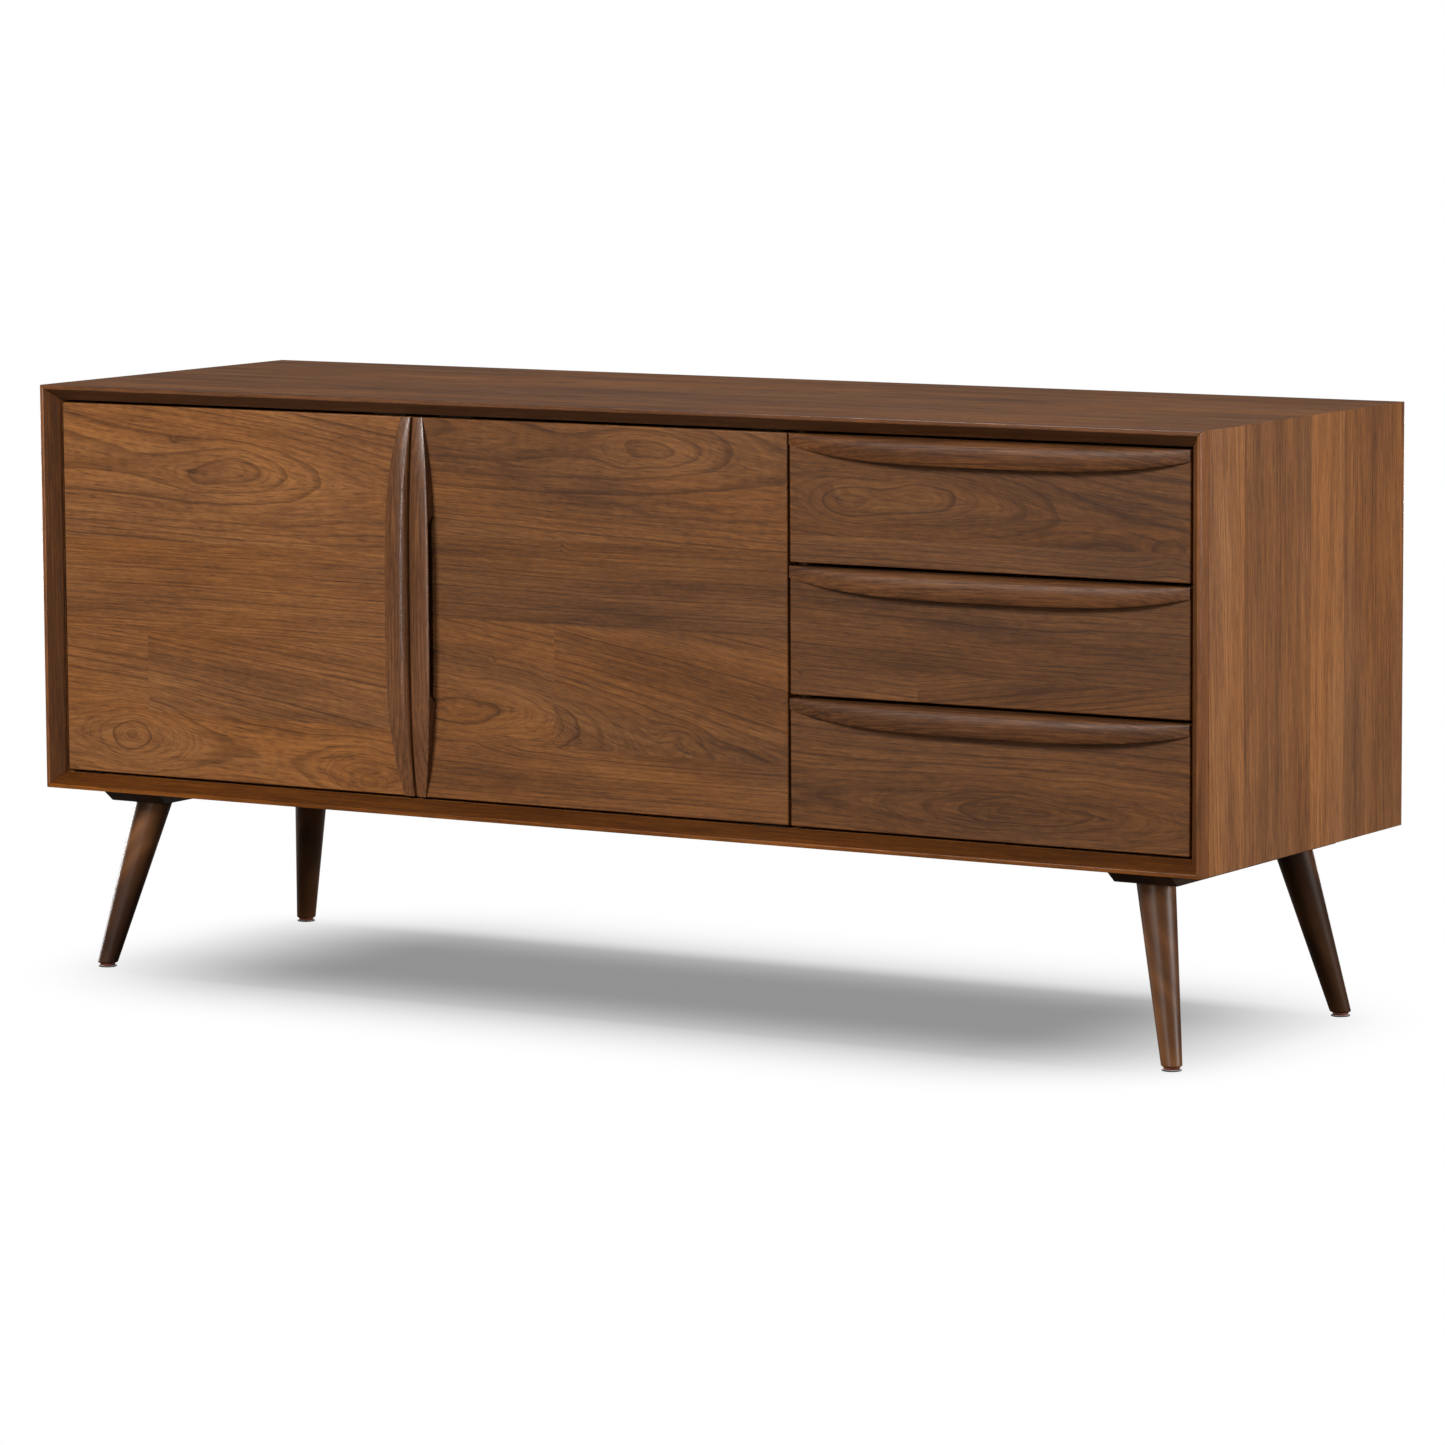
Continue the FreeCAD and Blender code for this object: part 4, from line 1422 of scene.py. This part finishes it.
@dataclass
class Legs:
    """The leg rails and the four turned legs with their glides and pads.

    Attributes:
        finishes: The mixed finishes.
        kit: The way to set small parts.
        top_x: How far out the legs' tops are.
        foot_x: How far out their feet are.
        top_y: How far in from the case's front or back their tops are.
        foot_y: How far in their feet are.
        top_diameter: Their thickness at the top.
        foot_diameter: Their thickness at the foot.
        foot_rounding: The rounding of their feet.
        sides: How many sides their round has.
        rings: How many lengths they are shaped in.
        glide_radius: The glides' radius.
        pad_radius: The pads' radius.
        foot_sides: How many sides the glides' and the pads' round has.
        rail_ease: The rounding of the rails' edges.
    """

    finishes: Finishes
    kit: FixingKit
    top_x: float = 0.6995
    foot_x: float = 0.743
    top_y: float = 0.086
    foot_y: float = 0.0425
    top_diameter: float = 0.0448
    foot_diameter: float = 0.024
    foot_rounding: float = 0.0016
    sides: int = 56
    rings: int = 72
    glide_radius: float = 0.0095
    pad_radius: float = 0.0115
    foot_sides: int = 40
    rail_ease: float = 0.0008

    def build(self) -> None:
        """Turns the legs and finishes the rails, glides and pads."""
        for hand in Side:
            cutting = Cutting(Grain.DEEP_FLAT, 0.07, 0.08, 0.02, 50.0 + hand.value)
            part = Part(hand.name.lower() + "_leg_rail", "case", "rail_wood")
            board(part, self.finishes.of(RAIL_WOOD), cutting, self.rail_ease)
        recipe = leg_recipe()
        walnut = self.finishes.of(LEG_WALNUT)
        front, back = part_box("bottom_front_edging")[0].y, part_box("back_panel")[1].y
        for index, (end, edge, inward) in enumerate((("front", front, 1.0), ("back", back, -1.0))):
            for hand in Side:
                part = Part("%s_%s_leg" % (end, hand.name.lower()), "case", "leg_walnut")
                low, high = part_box(part.node)
                leg = recipe.make({
                    "Top Middle": (hand.value * self.top_x, edge + inward * self.top_y, high.z),
                    "Foot Middle": (hand.value * self.foot_x, edge + inward * self.foot_y, low.z),
                    "Top Diameter": self.top_diameter, "Foot Diameter": self.foot_diameter,
                    "Foot Rounding": self.foot_rounding, "Sides": self.sides, "Rings": self.rings,
                    "Heart": (0.034 + 0.004 * index, 0.022 * hand.value, 3.0 * index + hand.value),
                    "Finish": walnut})
                smooth_by_angle(leg, ROUND_ANGLE)
                set_piece(leg, part, "_turned", walnut)
        self._feet()

    def _feet(self) -> None:
        """Sets the glides and their felt pads."""
        low, high = loose_parts("leg_glides")[0]
        tall, r = high.z - low.z, self.glide_radius
        glide = turned_shape(((0.0, 0.0), (0.55 * r, 0.0), (r - 0.0006, 0.0), (r, -0.0005), (r, -0.4 * tall),
                              (r - 0.0002, -0.7 * tall), (r - 0.0008, -tall), (0.5 * r, -tall),
                              (0.0, -tall)), self.foot_sides)
        self.kit.place(Part("leg_glides", "case", "glide_plastic"), GLIDE_PLASTIC, glide, UP)
        low, high = loose_parts("glide_pads")[0]
        tall, r = high.z - low.z, self.pad_radius
        pad = turned_shape(((0.0, 0.0), (0.8 * r, 0.0), (r - 0.0004, -0.0001), (r - 0.0001, -0.0004),
                            (r, -0.6 * tall), (r - 0.0001, -0.85 * tall), (r - 0.0004, -tall),
                            (0.6 * r, -tall), (0.0, -tall)), self.foot_sides)
        self.kit.place(Part("glide_pads", "case", "pad_felt"), PAD_FELT, pad, UP)


@dataclass
class Hardware:
    """Screws, bolts, pegs, pivots, catches and drawer slides.

    Attributes:
        finishes: The mixed finishes.
        kit: The way to set small parts.
        head_radius: A screw head's radius.
        head_height: How far a screw's head tapers.
        shank_radius: A screw's radius under its head.
        thread_pitch: The rise of one turn of its thread.
        recess: How deep the driver's cross is.
        collar: How far a peg's collar is let in.
        sides: How many sides a screw's or a peg's round has.
        ease: The rounding of the sheet metal's edges.
        shortest: The shortest edge of it that is rounded.
    """

    finishes: Finishes
    kit: FixingKit
    head_radius: float = 0.0034
    head_height: float = 0.0019
    shank_radius: float = 0.00165
    thread_pitch: float = 0.0014
    recess: float = 0.0012
    collar: float = 0.0004
    sides: int = 24
    ease: float = 0.0002
    shortest: float = 0.004

    def build(self) -> None:
        """Sets all the hardware."""
        for node, facing in (("back_screws", BACK), ("rail_screws", -UP)):
            low, high = loose_parts(node)[0]
            screw = self._screw(abs((high - low).dot(facing)))
            self.kit.place(Part(node, "case", "fixing_steel"), FIXING_STEEL, screw, facing)
        self._pegs()
        self._dress("leg_bolts", FIXING_STEEL)
        self._plain_metal()

    def _screw(self, length: float) -> Shape:
        """Makes a countersunk screw with a cross in its head.

        Args:
            length: Its whole length.

        Returns:
            The screw.
        """
        r, shank, pitch = self.head_radius, self.shank_radius, self.thread_pitch
        profile = [(0.0, 0.0), (0.18 * r, 0.0), (0.55 * r, 0.0), (0.70 * r, 0.0), (r - 0.0002, 0.0),
                   (r, -0.0002), (shank, -self.head_height)]
        height = -self.head_height - pitch
        while height > -length + 2.0 * pitch:
            profile += [(shank * 0.76, height), (shank, height - pitch / 2.0)]
            height -= pitch
        shape = turned_shape([*profile, (shank * 0.7, height), (0.0, -length)], self.sides)
        for vert in shape.verts:
            radius, turn = math.hypot(vert.co.x, vert.co.y), math.atan2(vert.co.y, vert.co.x)
            in_arm = abs(math.sin(2.0 * turn)) < 0.6 or radius < 0.1 * r
            if vert.co.z > -MERGE and radius < 0.6 * r and in_arm:
                vert.co.z = -self.recess
        smooth_by_angle(shape, THREAD_ANGLE)
        return shape

    def _pegs(self) -> None:
        """Sets the shelf pegs, which have a collar at their middle."""
        low, high = loose_parts("shelf_pegs")[0]
        length, r, collar = high.x - low.x, (high.z - low.z) / 2.0, self.collar
        side = r - 0.1 * collar
        peg = turned_shape(((0.0, 0.0), (r - 3.0 * collar, 0.0), (r - collar, -collar), (side, -3.0 * collar),
                            (side, -length / 2.0), (r - collar, -length / 2.0 - collar),
                            (side, -length / 2.0 - 2.0 * collar), (side, -length + collar),
                            (r - 2.0 * collar, -length), (0.0, -length)), self.sides)
        self.kit.place(Part("shelf_pegs", "case", "fixing_steel"), FIXING_STEEL, peg, RIGHT)

    def _plain_metal(self) -> None:
        """Softens the pressed parts, and dresses the small turned ones."""
        parts = [(Part("door_pivot_pins", "case", "fixing_steel"), PAINTED_SHADE_STEEL),
                 (Part("cabinet_slides", "case", "slide_steel"), SLIDE_STEEL),
                 (Part("door_catches", "case", "catch_plastic"), CATCH_PLASTIC)]
        for door in ("left_door", "right_door"):
            parts.append((Part(door + "_strike", door, "fixing_steel"), FIXING_STEEL))
            self._dress(door + "_pivot_bushes", CATCH_PLASTIC)
        for level in LEVELS:
            for ending, body in (("_drawer_slide_rails", "_drawer"), ("_drawer_slide_middles", "_slide")):
                parts.append((Part(level + ending, level + body, "slide_steel"), SLIDE_STEEL))
        for part, finish in parts:
            shape = node_shape(part.node)
            ease_edges(shape, self.ease, self.shortest)
            set_piece(shape, part, "_finished", self.finishes.of(finish))

    def _dress(self, node: str, finish: Finish) -> None:
        """Gives a working part that already has its right shape its finish.

        Args:
            node: The working part.
            finish: Its finish.
        """
        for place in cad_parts[node].material_slots:
            place.material = self.finishes.of(finish)
        log.info("%s: dressed in %s", node, finish.name)


# ---------------------------------------------------------------------------------------------
# The studio


class Falls(Enum):
    """What a light falls on, as the way that the floor is left out or let in."""

    PIECE = "EXCLUDE"
    FLOOR = "INCLUDE"


@dataclass(frozen=True)
class Softbox:
    """A large soft light, of a power in watts, that hangs at its place and is aimed at its target."""

    name: str
    place: Colour
    target: Colour
    width: float
    height: float
    power: float
    colour: Colour = (1.0, 1.0, 1.0)
    falls_on: Falls = Falls.PIECE

    def hang(self, floor: Piece) -> None:
        """Hangs the light.

        Args:
            floor: The studio's floor.
        """
        lamp = bpy.data.lights.new(self.name, "AREA")
        lamp.shape = "RECTANGLE"
        lamp.size, lamp.size_y = self.width, self.height
        lamp.energy, lamp.color = self.power, self.colour
        holder = bpy.data.objects.new(self.name, lamp)
        holder.location = self.place
        holder.rotation_euler = (Vector(self.target) - holder.location).to_track_quat("-Z", "Y").to_euler()
        holder.visible_camera = False
        bpy.context.scene.collection.objects.link(holder)
        linked = bpy.data.collections.new(self.name + "_linked")
        linked.objects.link(floor)
        linked.collection_objects[0].light_linking.link_state = self.falls_on.value
        holder.light_linking.receiver_collection = linked


@dataclass
class Studio:
    """The pale floor, the soft lights and the camera.

    Attributes:
        floor_reach: Half the floor's side.
        shadow_half: Half the size of the floor where the shadow is whole.
        shadow_fade: How far outside it the shadow fades away.
        shadow_lift: How light the shadow is kept.
        backdrop: The backdrop's brightness to the camera.
        ambient: The light that it gives to the sideboard.
        camera_place: Where the camera stands.
        camera_yaw: How far it is turned to the left, in degrees.
        camera_pitch: How far it looks down, in degrees.
        camera_roll: How far it leans, in degrees.
        lens: Its focal length in millimetres.
        lights: The softboxes.
    """

    floor_reach: float = 14.0
    shadow_half: Colour = (0.46, 0.07, 0.0)
    shadow_fade: float = 0.44
    shadow_lift: float = 0.27
    backdrop: float = 1.0
    ambient: float = 0.10
    camera_place: Colour = (4.110, -6.617, 1.282)
    camera_yaw: float = 31.70
    camera_pitch: float = 7.00
    camera_roll: float = -0.32
    lens: float = 162.8
    lights: tuple[Softbox, ...] = (
        Softbox("over_floor", (0.0, 0.6, 6.0), (0.0, 0.0, 0.0), 4.2, 2.4, 250.0, falls_on=Falls.FLOOR),
        Softbox("overhead", (0.0, 1.0, 6.0), (0.0, 0.0, 0.0), 5.0, 2.8, 150.0),
        Softbox("right_hand", (3.8, 0.7, 1.3), (0.8, 0.0, 0.4), 1.5, 1.9, 115.0, (1.0, 0.98, 0.95)),
        Softbox("front", (-0.9, -4.4, 2.7), (-0.4, 0.0, 0.45), 1.6, 1.2, 212.0, (1.0, 0.985, 0.96)),
        Softbox("strip", (0.95, -4.1, 1.0), (-0.26, -0.25, 0.5), 0.30, 2.4, 44.0),
        Softbox("left_hand", (-4.0, 0.8, 0.40), (-0.8, 0.0, 0.45), 1.5, 0.6, 60.0),
        Softbox("behind", (-1.0, 4.2, 0.38), (0.0, 0.0, 0.45), 2.8, 0.6, 140.0),
    )

    def build(self) -> None:
        """Lays the floor, lights the room and stands the camera."""
        floor = self._floor()
        self._air()
        for light in self.lights:
            light.hang(floor)
        self._camera()
        bpy.context.scene.view_settings.view_transform = "Standard"

    def _paper(self) -> Material:
        """Mixes the floor's paper, which shows its shadow near the case and melts into the backdrop.

        Returns:
            The floor's material.
        """
        material = bpy.data.materials.new("floor_paper")
        sheet = clean_sheet(material)
        place = sheet.wire("ShaderNodeTexCoord", output="Object")
        outside = (place.reckon("ABSOLUTE") - self.shadow_half).reckon("MAXIMUM", (0.0, 0.0, 0.0))
        far = sheet.ease(outside.reckon("LENGTH"), 0.0, self.shadow_fade, self.shadow_lift, 1.0)
        speck = sheet.noise(place, (900.0, 900.0, 900.0), 2.0)
        paper = sheet.blend(speck, (0.93, 0.94, 0.955), (0.96, 0.97, 0.985))
        seen = sheet.wire("ShaderNodeBsdfDiffuse", {"Color": paper})
        lit = sheet.wire("ShaderNodeEmission", {"Color": opaque((1.0, 1.0, 1.0)), "Strength": self.backdrop})
        dim = sheet.wire("ShaderNodeBsdfDiffuse", {"Color": opaque((0.16, 0.155, 0.15))})
        camera_ray = sheet.wire("ShaderNodeLightPath", output="Is Camera Ray")
        shown = sheet.shade(camera_ray, dim, sheet.shade(far, seen, lit))
        sheet.add("ShaderNodeOutputMaterial", {"Surface": shown})
        return material

    def _floor(self) -> Piece:
        """Lays the floor.

        Returns:
            The floor.
        """
        mesh = bpy.data.meshes.new("floor")
        corners = [(x * self.floor_reach, y * self.floor_reach, 0.0)
                   for x, y in ((-1.0, -1.0), (1.0, -1.0), (1.0, 1.0), (-1.0, 1.0))]
        mesh.from_pydata(corners, [], [(0, 1, 2, 3)])
        mesh.materials.append(self._paper())
        floor = bpy.data.objects.new("floor", mesh)
        bpy.context.scene.collection.objects.link(floor)
        return floor

    def _air(self) -> None:
        """Fills the room with even light, which the camera sees as the backdrop."""
        world = bpy.data.worlds.new("studio_air")
        sheet = clean_sheet(world)
        camera_ray = sheet.wire("ShaderNodeLightPath", output="Is Camera Ray")
        strength = camera_ray * (self.backdrop - self.ambient) + self.ambient
        air = sheet.wire("ShaderNodeBackground", {"Color": opaque((1.0, 1.0, 1.0)), "Strength": strength})
        sheet.add("ShaderNodeOutputWorld", {"Surface": air})
        bpy.context.scene.world = world

    def _camera(self) -> None:
        """Stands the camera where it looks across the sideboard from its right."""
        data = bpy.data.cameras.new("camera")
        data.sensor_width = 36.0
        data.lens = self.lens
        data.clip_start, data.clip_end = 0.1, 60.0
        camera = bpy.data.objects.new("camera", data)
        place = Matrix.Translation(self.camera_place)
        for angle, axis in ((self.camera_yaw, "Z"), (90.0 - self.camera_pitch, "X"), (self.camera_roll, "Z")):
            place = place @ Matrix.Rotation(math.radians(angle), 4, axis)
        camera.matrix_world = place
        bpy.context.scene.collection.objects.link(camera)
        bpy.context.scene.camera = camera


def main() -> None:
    """Builds the sideboard in its studio."""
    logging.basicConfig(level=logging.INFO, format="%(name)s: %(message)s")
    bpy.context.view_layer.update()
    finishes = Finishes()
    kit = FixingKit(finishes)
    Studio().build()
    Case(finishes).build()
    Fronts(finishes, Pull()).build()
    Legs(finishes, kit).build()
    Hardware(finishes, kit).build()


if __name__ == "__main__":
    main()
